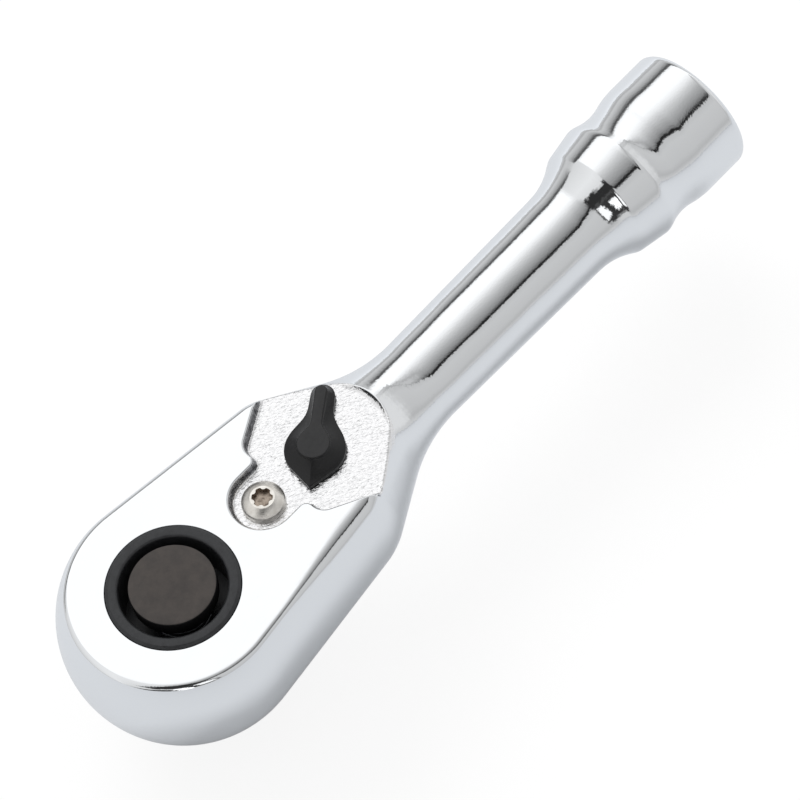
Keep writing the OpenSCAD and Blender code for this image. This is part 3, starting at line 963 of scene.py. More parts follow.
def add_node(tree: bpy.types.NodeTree, kind: str, settings: Optional[dict[str, Any]] = None,
             *inputs: Any) -> bpy.types.Node:
    """Adds a node with its settings and links.

    Args:
        tree: the tree that it goes into.
        kind: the node's type.
        settings: its own properties, and its inputs by name.
        inputs: its inputs in their order, where None leaves one as it is.

    Returns:
        The node. An input that is given a socket is linked to it, and any other is set.
    """
    node = tree.nodes.new(kind)
    given: dict[Any, Any] = {i: v for i, v in enumerate(inputs) if v is not None}
    for key, value in (settings or {}).items():
        if hasattr(node, key):
            setattr(node, key, value)
        else:
            given[key] = value
    for key, value in given.items():
        if isinstance(value, bpy.types.NodeSocket):
            tree.links.new(value, node.inputs[key])
        else:
            node.inputs[key].default_value = value
    return node


def linear(colour: str) -> tuple[float, float, float, float]:
    """Turns an sRGB hex colour into a linear one.

    Args:
        colour: the colour, such as "#808080".

    Returns:
        Linear red, green and blue, and an alpha of 1.
    """
    parts = [int(colour[i:i + 2], 16) / 255 for i in (1, 3, 5)]
    red, green, blue = (c / 12.92 if c <= 0.04045 else ((c + 0.055) / 1.055) ** 2.4 for c in parts)
    return red, green, blue, 1.0


@dataclass(frozen=True)
class Relief:
    """A layer of fine unevenness, with its bumps' width and height in mm.

    Detail adds finer bumps to them, and stretch draws them out along the finish's grain.
    """

    width: float
    height: float
    detail: float = 2
    stretch: float = 1


@dataclass(frozen=True)
class Finish:
    """A real material and how its surface was made, with any light or shade that is painted into
    its colour.
    """

    title: str
    colour: str
    metallic: float
    roughness: float
    other_colour: str = ""
    patch: float = 1.0
    patch_spread: tuple[float, float] = (0.35, 0.65)
    patch_stretch: float = 1.0
    grain_turn: float = 0.0
    # The middle and half height in mm of a band in which the other colour gathers as painted
    # shade.
    shade_band: tuple[float, float] = (0.0, 0.0)
    roughness_spread: float = 0.0
    reliefs: tuple[Relief, ...] = ()
    groove_pitch: float = 0.0
    groove_height: float = 0.0
    specular: float = 0.5

    def material(self) -> bpy.types.Material:
        """Builds the node material.

        Returns:
            The material, on Object coordinates.
        """
        made = bpy.data.materials.new(self.title)
        made.use_nodes = True
        made.diffuse_color = linear(self.colour)
        tree = made.node_tree
        shader = tree.nodes["Principled BSDF"]
        shader.inputs["Base Color"].default_value = linear(self.colour)
        shader.inputs["Metallic"].default_value = self.metallic
        shader.inputs["Roughness"].default_value = self.roughness
        shader.inputs["Specular IOR Level"].default_value = self.specular
        place = add_node(tree, "ShaderNodeTexCoord").outputs["Object"]
        if self.other_colour:
            patches = add_node(tree, "ShaderNodeTexNoise",
                               {"Vector": self.drawn_out(tree, place, self.patch_stretch),
                                "Scale": 1 / (self.patch * MM), "Detail": 6.0, "Roughness": 0.62})
            share = add_node(tree, RANGE, None, patches.outputs[0], *self.patch_spread).outputs[0]
            if self.shade_band[1]:
                share = self.gathered_shade(tree, place, share)
            mixed = add_node(tree, BLEND, {"data_type": "RGBA"}, share, *[None] * 5,
                             linear(self.colour), linear(self.other_colour))
            tree.links.new(mixed.outputs[2], shader.inputs["Base Color"])
            if self.roughness_spread:
                rough = add_node(tree, RANGE, None, share, 0.0, 1.0, self.roughness,
                                 self.roughness + self.roughness_spread)
                tree.links.new(rough.outputs[0], shader.inputs["Roughness"])
        heights = [(add_node(tree, "ShaderNodeTexNoise",
                             {"Vector": self.drawn_out(tree, place, layer.stretch),
                              "Scale": 1 / (layer.width * MM), "Detail": layer.detail}).outputs[0],
                    layer.height) for layer in self.reliefs]
        if self.groove_pitch:
            waves = add_node(tree, "ShaderNodeTexWave",
                             {"wave_type": "RINGS", "rings_direction": "Z", "Vector": place,
                              "Scale": math.pi / (10 * self.groove_pitch * MM),
                              "Distortion": 0.6, "Detail": 1.0})
            heights.append((waves.outputs[1], self.groove_height))
        normal: Optional[bpy.types.NodeSocket] = None
        for pattern, height in heights:
            bump = {"Strength": 1.0, "Distance": height * MM, "Height": pattern}
            if normal is not None:
                bump["Normal"] = normal
            normal = add_node(tree, "ShaderNodeBump", bump).outputs[0]
        if normal is not None:
            tree.links.new(normal, shader.inputs["Normal"])
        return made

    def shared(self) -> bpy.types.Material:
        """The finish's material, which is built when it is first asked for."""
        return bpy.data.materials.get(self.title) or self.material()

    def gathered_shade(self, tree: bpy.types.NodeTree, place: bpy.types.NodeSocket,
                 share: bpy.types.NodeSocket) -> bpy.types.NodeSocket:
        """Gathers the other colour, painted shade, round one level.

        Args:
            tree: the tree that it goes into.
            place: the socket with the coordinates.
            share: the socket with the other colour's share.

        Returns:
            The socket with the new share.
        """
        core, mottle, least = 0.25, 0.45, 0.6
        middle, half = (v * MM for v in self.shade_band)
        height = add_node(tree, "ShaderNodeSeparateXYZ", None, place).outputs[2]
        off = add_node(tree, MATH, {"operation": "SUBTRACT"}, height, middle)
        off = add_node(tree, MATH, {"operation": "ABSOLUTE"}, off.outputs[0])
        near = add_node(tree, RANGE, {"interpolation_type": "SMOOTHSTEP"}, off.outputs[0],
                        core * half, half, 1.0, 0.0)
        mottled = add_node(tree, MATH, {"operation": "MULTIPLY_ADD"}, share, mottle, least)
        return add_node(tree, MATH, {"operation": "MULTIPLY", "use_clamp": True},
                        near.outputs[0], mottled.outputs[0]).outputs[0]

    def drawn_out(self, tree: bpy.types.NodeTree, place: bpy.types.NodeSocket,
                  stretch: float) -> bpy.types.NodeSocket:
        """Coordinates in which a pattern comes out longer along the grain's direction."""
        return add_node(tree, "ShaderNodeMapping",
                        {"vector_type": "TEXTURE", "Vector": place, "Scale": (stretch, 1, 1),
                         "Rotation": (0, 0, math.radians(self.grain_turn))}).outputs[0]


# A pixel of the picture is about 0.13 mm of the tool. Grain that is finer on the real one, as on
# the oxide, the baked coat and the rubber, is drawn 0.13 to 0.2 mm wide, so that it shows.

# Bright nickel-chrome plate on a forged and polished bar: a mirror with a faint blue-grey cast.
# Polishing by hand leaves slow waves, and the plate a fine orange peel that breaks up the edges
# of what it reflects.
POLISHED_CHROME = Finish("polished_chrome_plate", "#eef0f2", 1.0, 0.035,
                         reliefs=(Relief(7.0, 0.09, 1), Relief(0.3, 0.005, 1)))
# The same plate over the shot-blasted floor of the lever pocket: bright, with small pits and
# streaks that break the reflection into flecks. Its grey flecks of colour, drawn out along one
# slant, are painted shade of the grain's slopes.
BLASTED_CHROME = Finish("chrome_plate_on_blasted_steel", "#f2f2f3", 1.0, 0.12, "#b9babc", 0.3,
                        (0.56, 0.78), 2.2, grain_turn=-31.6, roughness_spread=0.1,
                        reliefs=(Relief(0.34, 0.11, 3, 2.0),))
# Plate on the pocket's steep walls: inside corners take it thinly, so it is duller. Its darker
# tone, gathered in a band halfway up the walls, is painted shade of the pocket.
SHADED_WALL_CHROME = Finish("thin_chrome_with_painted_shade_on_walls", "#d2d3d6", 1.0, 0.2, "#4c4d50", 0.7,
                     (0.38, 0.62), 1.6, grain_turn=-31.6, shade_band=(17.4, 0.75),
                     roughness_spread=0.1, reliefs=(Relief(0.35, 0.07, 2, 1.6),))
# Hot black oxide on turned steel: a thin blue-black skin, satin, with the lathe's fine rings.
BLACK_OXIDE = Finish("black_oxide_on_turned_steel", "#242527", 0.25, 0.33, "#303133", 0.7,
                     roughness_spread=0.12, reliefs=(Relief(0.2, 0.006),),
                     groove_pitch=0.11, groove_height=0.0008)
# Manganese phosphate on the button's ground face: brown-black, matt and cloudy.
PHOSPHATE = Finish("phosphated_ground_steel", "#373331", 0.1, 0.46, "#443f3c", 1.7, (0.36, 0.64),
                   roughness_spread=0.12, reliefs=(Relief(0.16, 0.008, 3),), specular=0.4)
# The button's side, down in its gap: painted deep black for the shade of the gap.
GAP_SHADE_BLACK = Finish("button_side_painted_gap_shade", "#0b0b0c", 0.0, 0.5, "#121213", 0.6,
                     reliefs=(Relief(0.2, 0.006),), specular=0.2)
# Black paint baked on a metal casting: near black, matt, with a fine even grain.
BAKED_BLACK = Finish("matt_black_baked_coat", "#0f0f10", 0.0, 0.34, "#171718", 0.25,
                     roughness_spread=0.1, reliefs=(Relief(0.13, 0.010, 2),), specular=0.36)
# The same coat on the lever's flat top, painted greyer and cloudy for the light on the top.
LIT_TOP_BLACK = Finish("matt_black_coat_painted_lit_top", "#1b1b1c", 0.0, 0.42, "#262627", 0.7,
                      roughness_spread=0.1, reliefs=(Relief(0.13, 0.012, 2),), specular=0.42)
# Cold-headed stainless steel, tumbled: warm grey with a soft gloss.
STAINLESS = Finish("tumbled_stainless_steel", "#f2efe9", 1.0, 0.3, "#e2ded7", 0.9,
                   roughness_spread=0.06, reliefs=(Relief(0.25, 0.006, 2),))
# The broached recess of that screw, tinted brown by thread lock and heat, and painted darker
# for the shade inside it.
TINTED_SHADED_RECESS = Finish("tinted_and_shaded_broached_recess", "#ada093", 1.0, 0.34, "#6c6057", 0.5,
                       (0.44, 0.66), roughness_spread=0.1, reliefs=(Relief(0.2, 0.01, 2),))
# Hardened spring steel, oil tempered and scaled: grey with darker patches.
SPRING_STEEL = Finish("oil_tempered_spring_steel", "#9c9fa3", 1.0, 0.28, "#85888c", 0.8,
                      roughness_spread=0.1, reliefs=(Relief(0.2, 0.004),))
# Bearing steel, lapped: a clean bright ball.
BALL_STEEL = Finish("lapped_bearing_steel", "#cfd1d4", 1.0, 0.07, "#c6c8cc", 0.6,
                    reliefs=(Relief(0.5, 0.001),))
# Nitrile rubber, moulded: black, dull, with a slight bloom.
NITRILE = Finish("moulded_nitrile_rubber", "#18181a", 0.0, 0.55, "#222224", 0.5,
                 reliefs=(Relief(0.15, 0.006),), specular=0.35)


class Body(Enum):
    """The CAD bodies that pieces ride on."""

    HOUSING = "housing"
    DRIVE = "drive"
    RELEASE = "release"
    BALL = "ball"
    LEVER = "lever"


def hand_over(piece: bpy.types.Object, rides: Body, nodes: Sequence[str],
              finishes: Sequence[Finish]) -> None:
    """Dresses a finished piece and ties it to the frame.

    Args:
        piece: the finished object.
        rides: the body that it moves with.
        nodes: the CAD nodes that it stands for.
        finishes: its materials in the order of its slots.
    """
    places = np.empty(len(piece.data.polygons), np.int32)
    piece.data.polygons.foreach_get("material_index", places)
    piece.data.materials.clear()
    for finish in finishes:
        piece.data.materials.append(finish.shared())
    piece.data.polygons.foreach_set("material_index", places)
    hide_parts(*nodes)
    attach(piece, rides.value)
    triangles = sum(len(f.vertices) - 2 for f in piece.data.polygons)
    LOG.info("%s: %d triangles, rides on %s, for %s", piece.name, triangles, rides.value,
             ", ".join(nodes))


# Geometry nodes

class Recipe:
    """A Geometry Nodes tree with named inputs that makes one mesh from nothing."""

    def __init__(self, name: str, inputs: dict[str, float]) -> None:
        """Starts the tree.

        Args:
            name: the tree's name.
            inputs: the names and first values of its inputs.
        """
        self.tree = bpy.data.node_groups.new(name, "GeometryNodeTree")
        self.values = inputs
        for title, value in inputs.items():
            kind = "NodeSocketInt" if isinstance(value, int) else "NodeSocketFloat"
            self.tree.interface.new_socket(title, in_out="INPUT", socket_type=kind)
        self.tree.interface.new_socket("Finish", in_out="INPUT", socket_type="NodeSocketMaterial")
        self.tree.interface.new_socket("Mesh", in_out="OUTPUT", socket_type="NodeSocketGeometry")
        self.given = add_node(self.tree, "NodeGroupInput")

    def node(self, kind: str, settings: Optional[dict[str, Any]] = None,
             *inputs: Any) -> bpy.types.Node:
        """Adds a node to this tree."""
        return add_node(self.tree, kind, settings, *inputs)

    def make(self, name: str, result: bpy.types.NodeSocket, finish: Finish) -> bpy.types.Object:
        """Ends the tree, runs it and keeps the mesh.

        Args:
            name: the new object's name.
            result: the socket with the finished geometry.
            finish: the material that the tree sets.

        Returns:
            A plain mesh object, in metres.
        """
        real = self.node("GeometryNodeRealizeInstances", None, result)
        dressed = self.node("GeometryNodeSetMaterial", {"Geometry": real.outputs[0],
                                                        "Material": self.given.outputs["Finish"]})
        self.node("NodeGroupOutput", None, dressed.outputs[0])
        holder = bpy.data.objects.new(name, bpy.data.meshes.new(name))
        bpy.context.scene.collection.objects.link(holder)
        step = holder.modifiers.new("recipe", "NODES")
        step.node_group = self.tree
        for item in self.tree.interface.items_tree:
            if item.in_out == "INPUT":
                step[item.identifier] = (finish.shared() if item.name == "Finish"
                                         else self.values[item.name])
        evaluated = holder.evaluated_get(bpy.context.evaluated_depsgraph_get())
        mesh = bpy.data.meshes.new_from_object(evaluated)
        holder.modifiers.remove(step)
        holder.data = mesh
        return holder


def coil(name: str, radius: float, wire: float, height: float, turns: float) -> bpy.types.Object:
    """Winds a compression spring upwards from the origin, in Geometry Nodes.

    Args:
        name: the object's name.
        radius: the radius of the wire's middle line.
        wire: the wire's own radius.
        height: the spring's length over all.
        turns: how many turns it has.

    Returns:
        The spring, in metres.
    """
    recipe = Recipe("coil_spring", {"Radius": radius * MM, "Wire": wire * MM,
                                    "Rise": (height - 2 * wire) * MM, "Turns": turns})
    given = recipe.given.outputs
    line = recipe.node("GeometryNodeCurveSpiral",
                       {"Resolution": 40, "Rotations": given["Turns"], "Height": given["Rise"],
                        "Start Radius": given["Radius"], "End Radius": given["Radius"]})
    section = recipe.node("GeometryNodeCurvePrimitiveCircle",
                          {"Resolution": 12, "Radius": given["Wire"]})
    tube = recipe.node("GeometryNodeCurveToMesh", {"Fill Caps": True, "Curve": line.outputs[0],
                                                   "Profile Curve": section.outputs[0]})
    lift = recipe.node("ShaderNodeCombineXYZ", None, 0.0, 0.0, given["Wire"])
    moved = recipe.node("GeometryNodeTransform", {"Geometry": tube.outputs[0],
                                                  "Translation": lift.outputs[0]})
    piece = recipe.make(name, moved.outputs[0], SPRING_STEEL)
    smooth_by_angle(piece, 50)
    return piece


def tooth_ring(name: str, teeth: int, tip: float, root: float, width: float,
               low: float) -> bpy.types.Object:
    """Makes the gear's tooth ring in Geometry Nodes: one tooth's shape, repeated round a circle.

    Args:
        name: the object's name.
        teeth: how many teeth there are.
        tip: the radius at their tips.
        root: the radius between them.
        width: the ring's width.
        low: the height of its lower face.

    Returns:
        The closed ring without its bore, in metres.
    """
    recipe = Recipe("tooth_ring", {"Teeth": teeth, "Tip": tip * MM, "Root": root * MM,
                                   "Width": width * MM, "Low": low * MM})
    given = recipe.given.outputs
    per_tooth, flat = 4.0, 0.16

    def step(operation: str) -> dict[str, Any]:
        """The setting of one step of arithmetic."""
        return {"operation": operation}

    corners = recipe.node(MATH, step("MULTIPLY"), given["Teeth"], per_tooth).outputs[0]
    disc = recipe.node("GeometryNodeMeshCircle", {"fill_type": "NGON", "Vertices": corners})
    index = recipe.node("GeometryNodeInputIndex").outputs[0]
    corner = recipe.node(MATH, step("FLOORED_MODULO"), index, per_tooth).outputs[0]
    tooth = recipe.node(MATH, step("DIVIDE"), index, per_tooth).outputs[0]
    tooth = recipe.node(MATH, step("FLOOR"), tooth).outputs[0]
    low_side = recipe.node(MATH, step("GREATER_THAN"), corner, 1.5).outputs[0]
    pitch = recipe.node(MATH, step("DIVIDE"), 2 * math.pi, given["Teeth"]).outputs[0]
    half = recipe.node(MATH, step("FLOORED_MODULO"), corner, 2.0).outputs[0]
    half = recipe.node(MATH, step("SUBTRACT"), half, 0.5).outputs[0]
    share = recipe.node(MATH, step("MULTIPLY_ADD"), low_side, 0.5, tooth).outputs[0]
    share = recipe.node(MATH, step("MULTIPLY_ADD"), half, flat, share).outputs[0]
    angle = recipe.node(MATH, step("MULTIPLY"), share, pitch).outputs[0]
    drop = recipe.node(MATH, step("SUBTRACT"), given["Root"], given["Tip"]).outputs[0]
    radius = recipe.node(MATH, step("MULTIPLY_ADD"), low_side, drop, given["Tip"]).outputs[0]
    across = recipe.node(MATH, step("COSINE"), angle).outputs[0]
    along = recipe.node(MATH, step("SINE"), angle).outputs[0]
    place = recipe.node("ShaderNodeCombineXYZ", None,
                        recipe.node(MATH, step("MULTIPLY"), radius, across).outputs[0],
                        recipe.node(MATH, step("MULTIPLY"), radius, along).outputs[0],
                        given["Low"])
    plan = recipe.node("GeometryNodeSetPosition", {"Geometry": disc.outputs[0],
                                                   "Position": place.outputs[0]})
    raised = recipe.node("GeometryNodeExtrudeMesh",
                         {"mode": "FACES", "Individual": False, "Mesh": plan.outputs[0],
                          "Offset Scale": given["Width"]})
    under = recipe.node("GeometryNodeFlipFaces", {"Mesh": plan.outputs[0]})
    both = recipe.node("GeometryNodeJoinGeometry", None, raised.outputs[0])
    recipe.tree.links.new(under.outputs[0], both.inputs[0])
    whole = recipe.node("GeometryNodeMergeByDistance", {"Distance": WELD,
                                                        "Geometry": both.outputs[0]})
    return recipe.make(name, whole.outputs[0], BLACK_OXIDE)


def bar_between(name: str, a: Sequence[float], b: Sequence[float], radius: float,
                sides: int = 64) -> bpy.types.Object:
    """A round bar between two points, closed at both ends.

    Args:
        name: the object's name.
        a: the first point in mm.
        b: the second point in mm.
        radius: the bar's radius.
        sides: how many points go round.

    Returns:
        The object.
    """
    start, end = Vector(a), Vector(b)
    turn = (end - start).to_track_quat("Z", "Y").to_matrix()
    around = np.linspace(0, 2 * math.pi, sides, endpoint=False)
    circle = np.array([turn @ Vector((radius * math.cos(t), radius * math.sin(t), 0))
                       for t in around])
    return lofted(name, np.stack([circle + np.array(start), circle + np.array(end)]))


def arc(centre: Point2, radius: float, start: float, end: float, steps: int) -> Array:
    """Points on an arc, with its angles in degrees."""
    a = np.radians(np.linspace(start, end, steps + 1))
    return np.column_stack([centre[0] + radius * np.cos(a), centre[1] + radius * np.sin(a)])


# Drive

@dataclass
class Drive:
    """The ratchet gear with its hubs and square, the release button, the ball and their spring."""

    layout: Layout
    teeth: int = 36
    tooth_depth: float = 0.85
    gear_w: float = 7.95
    hub_proud: float = 0.3
    hub_chamfer: float = 0.42
    hub_lean: float = 48
    seat_chamfer: float = 0.2
    well_rim: float = 0.42
    well_r: float = 7.25
    well_z: float = 11.3
    square_w: float = 9.5
    square_l: float = 11
    square_corner_r: float = 6.15
    rod_hole_r: float = 2.45
    rod_hole_z: float = -10.09
    ball_r: float = 1.75
    ball_x: float = 3.67
    ball_z: float = -5.5
    mouth_r: float = 1.57
    button_r: float = 5.85
    button_z: float = 16.4
    button_z1: float = 19.05
    spring_r: float = 4.125
    wire_r: float = 0.28
    spring_turns: float = 4.5
    spring_gap: float = 0.02
    press: float = 2.0
    button_hole_r: float = 2.4
    button_rim: float = 0.22

    @property
    def spring_z(self) -> float:
        """The height of the spring's lower end."""
        return self.well_z + self.spring_gap

    @property
    def spring_l(self) -> float:
        """The spring's length at rest."""
        return self.button_z - self.well_z - 2 * self.spring_gap

    def gear(self) -> bpy.types.Object:
        """The gear: turned hubs, repeated teeth, a milled square and its cross bores.

        Returns:
            The object.
        """
        lay = self.layout
        top, inside = lay.head_z1 + self.hub_proud, lay.gear_z + 1
        cut, seat, rim = self.hub_chamfer, self.seat_chamfer, self.well_rim
        profile = np.vstack([
            [(lay.seat_r - seat, 0.0), (lay.seat_r, seat), (lay.seat_r, inside),
             (lay.hub_r, inside), (lay.hub_r, top - 0.36)],
            arc((lay.hub_r - 0.1, top - 0.32), 0.1, 0, self.hub_lean, 3),
            arc((lay.hub_r - cut, top - 0.12), 0.12, self.hub_lean, 90, 3),
            arc((self.well_r + rim, top - rim), rim, 90, 180, 8),
            [(self.well_r, self.well_z), (self.rod_hole_r + 1, self.well_z)]])
        piece = turned("ratchet_gear", profile, 216)
        ring = tooth_ring("teeth", self.teeth, lay.tip_r, lay.tip_r - self.tooth_depth,
                          self.gear_w, lay.gear_z)
        a = np.linspace(0, 2 * math.pi, 144, endpoint=False) + math.pi / 144
        reach = np.minimum(self.square_w / 2 / np.maximum(np.abs(np.cos(a)), np.abs(np.sin(a))),
                           self.square_corner_r)
        # Heights and insets: the square's end is rounded, and its root goes into the hub.
        levels = [(-self.square_l, 0.5), (0.3 - self.square_l, 0.14), (0.5 - self.square_l, 0.0),
                  (0.5, 0.0)]
        square = lofted("square", np.stack([
            np.column_stack([(reach - inset) * np.cos(a), (reach - inset) * np.sin(a),
                             np.full(a.shape, z)]) for z, inset in levels]))
        combine(piece, [ring, square], Cut.TOGETHER)
        half = self.square_w / 2
        combine(piece, [
            bar_between("rod_hole", (0, 0, self.rod_hole_z), (0, 0, self.well_z + 0.5),
                        self.rod_hole_r),
            bar_between("ball_bore", (0.25 - half, 0, self.ball_z), (0, 0, self.ball_z),
                        self.ball_r + lay.run),
            bar_between("ball_mouth", (-half - 1, 0, self.ball_z), (-1, 0, self.ball_z),
                        self.mouth_r)], Cut.AWAY)
        smooth_by_angle(piece, 32)
        return piece

    def button(self) -> bpy.types.Object:
        """The push button: a turned disc with a rolled rim and a very slight dome.

        Returns:
            The object, with its side in the second material.
        """
        edge, r, top, hole = self.button_rim, self.button_r, self.button_z1, self.button_hole_r
        profile = np.vstack([
            [(hole, top - 0.95), (hole, self.button_z), (r - 0.15, self.button_z),
             (r, self.button_z + 0.15)],
            arc((r - edge, top - edge - 0.03), edge, 0, 90, 6),
            [(r * 0.75, top - 0.015), (r * 0.4, top - 0.004), (0.3, top)]])
        piece = turned("release_button_disc", profile, 160)
        smooth_by_angle(piece)
        # The side takes the second material, painted black for the shade of the gap.
        for face in piece.data.polygons:
            face.material_index = 0 if face.normal.z > 0.7 else 1
        return piece

    def ball(self) -> bpy.types.Object:
        """The lock ball.

        Returns:
            The object.
        """
        profile = arc((0, self.ball_z), self.ball_r, -86, 86, 40)
        piece = turned("lock_ball_lapped", profile, 72, (-self.ball_x, 0))
        smooth_by_angle(piece)
        return piece

    def spring(self) -> bpy.types.Object:
        """The spring under the button, standing in the well.

        Returns:
            The object.
        """
        piece = coil("release_coil", self.spring_r, self.wire_r, self.spring_l, self.spring_turns)
        piece.data.transform(Matrix.Translation((0, 0, self.spring_z * MM)))
        return piece

    def build(self) -> None:
        """Builds and hands over the gear, button, ball and spring."""
        hand_over(self.gear(), Body.DRIVE, ["drive_gear"], [BLACK_OXIDE])
        hand_over(self.button(), Body.RELEASE, ["release_button"],
                  [PHOSPHATE, GAP_SHADE_BLACK])
        hand_over(self.ball(), Body.BALL, ["lock_ball"], [BALL_STEEL])
        spring = self.spring()
        hand_over(spring, Body.DRIVE, ["release_spring"], [SPRING_STEEL])
        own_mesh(spring)


# Lever and screw

@dataclass
class Lever:
    """The reversing lever in one piece with its spindle, and the spring inside it."""

    layout: Layout
    boss_r: float = 4.12
    nose: float = 5.58
    bar_tip: float = 9.66
    bar_r: float = 1.64
    bar_root_r: float = 1.9
    neck: float = 2.4
    crown_r: float = 2.2
    ridge_r: float = 0.62
    ridge_tip_r: float = 0.82
    wall: float = 0.85
    height: float = 2.55
    edge: float = 0.14
    scoop: float = 1.35
    step: float = 0.2
    step_w: float = 0.16
    plunger_z: float = 8.05
    bore_r: float = 1.3
    spring_start: float = 2.05
    spring_l: float = 3.02
    spring_r: float = 0.9
    wire_r: float = 0.15
    spring_turns: float = 5.0
    plunger_travel: float = 0.6

    def outline(self, x: Array, y: Array) -> Array:
        """The distance from the lever's outline in plan, with the thumb bar along +X.

        Args:
            x: places along the bar, from the spindle's axis.
            y: places across it.

        Returns:
            The distances, negative inside.
        """
        nose = two_discs(x, y, (0.2 - self.nose, 0.2), (0, self.boss_r))
        bar = two_discs(x, y, (1.0, self.bar_root_r), (self.bar_tip - self.bar_r, self.bar_r))
        return join(nose, bar, self.neck)

    def crown(self, x: Array, y: Array) -> Array:
        """The distance from the edge of the flat crown: a round boss and a ridge along the bar."""
        ridge = two_discs(x, y, (0, self.ridge_r),
                          (self.bar_tip - self.bar_r - 0.15, self.ridge_tip_r))
        return join(np.hypot(x, y) - self.crown_r, ridge, 1.5)

    def top(self, x: Array, y: Array) -> Array:
        """The height of the lever's bevelled top above its base.

        Args:
            x: places along the bar, from the spindle's axis.
            y: places across it.

        Returns:
            The heights.
        """
        inside = np.maximum(-self.outline(x, y), 0)
        beyond = self.crown(x, y)
        beyond = 0.5 * (beyond + np.hypot(beyond, 0.09))
        share = inside / (inside + beyond)
        fall = np.clip(self.crown(x, y) / self.step_w, 0, 1)
        lip = self.step * (1 - fall * fall * (3 - 2 * fall))
        rise = self.height - self.layout.run - self.wall - self.step
        return self.wall + rise * share ** self.scoop + lip

    def body(self) -> bpy.types.Object:
        """The lever and its spindle, in one closed skin of rings.

        Returns:
            The object, with its crown in the second material.
        """
        lay = self.layout
        dense = np.radians(np.arange(-22, 22, 0.5))
        rest = np.radians(np.concatenate([np.arange(22, 168, 2), np.arange(168, 192, 0.75),
                                          np.arange(192, 338, 2)]))
        a = np.concatenate([dense, rest])
        rim = crossing(lambda r: self.outline(r * np.cos(a), r * np.sin(a)),
                       np.zeros(a.shape), np.full(a.shape, 14.0))
        base = lay.floor_z + lay.run
        rings = []
        inner = rim - self.edge
        for share in np.linspace(0.02, 1, 96):
            r = inner * share
            rings.append((r, base + self.top(r * np.cos(a), r * np.sin(a))))
        last = rings[-1][1]
        for step in (25, 50, 75, 90):
            t = math.radians(step)
            rings.append((inner + self.edge * math.sin(t), last - self.edge * (1 - math.cos(t))))
        even = np.ones(a.shape)
        s = lay.spindle_r
        seal, seal_half, seal_depth = lay.chamber_z1 + 2.4, 0.33, 0.63
        clip, clip_w, clip_depth = lay.chamber_z1 - 0.75, 0.6, 0.7
        rings += [(rim, base + 0.12 * even), (rim - 0.12, base * even)]
        rings += [(r * even, z * even) for r, z in (
            (s + 0.1, base), (s, base - 0.1), (s, seal + seal_half),
            (s - seal_depth, seal + seal_half), (s - seal_depth, seal - seal_half),
            (s, seal - seal_half), (s, clip + clip_w), (s - clip_depth, clip + clip_w),
            (s - clip_depth, clip), (s, clip), (s, 2.9), (s - 0.3, 2.6))]
        points = np.stack([np.column_stack([r * np.cos(a), r * np.sin(a), z]) for r, z in rings])
        piece = lofted("reversing_lever_coated", points)
        combine(piece, [bar_between("bore", (-s - 1, 0, self.plunger_z), (2.1, 0, self.plunger_z),
                                    self.bore_r)], Cut.AWAY)
        smooth_by_angle(piece, 50)
        top = base + self.height - lay.run - 0.03
        # The flat crown takes the second material, painted lighter for the light on the top.
        for face in piece.data.polygons:
            face.material_index = 1 if face.normal.z > 0.97 and face.center.z > top * MM else 0
        return self.placed(piece)

    def placed(self, piece: bpy.types.Object) -> bpy.types.Object:
        """Turns a piece made at the origin to the lever's place at rest."""
        piece.data.transform(Matrix.Translation((self.layout.lever_x * MM, 0, 0))
                             @ Matrix.Rotation(math.radians(self.layout.lever_swing), 4, "Z"))
        return piece

    def spring(self) -> bpy.types.Object:
        """The spring behind the plunger, lying in its bore.

        Returns:
            The object.
        """
        piece = coil("lever_coil", self.spring_r, self.wire_r, self.spring_l, self.spring_turns)
        piece.data.transform(Matrix.Translation((self.spring_start * MM, 0, self.plunger_z * MM))
                             @ Matrix.Rotation(-math.pi / 2, 4, "Y"))
        return self.placed(piece)

    def build(self) -> None:
        """Builds and hands over the lever and its spring."""
        hand_over(self.body(), Body.LEVER, ["reversing_lever"],
                  [BAKED_BLACK, LIT_TOP_BLACK])
        spring = self.spring()
        hand_over(spring, Body.LEVER, ["lever_spring"], [SPRING_STEEL])
        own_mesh(spring)


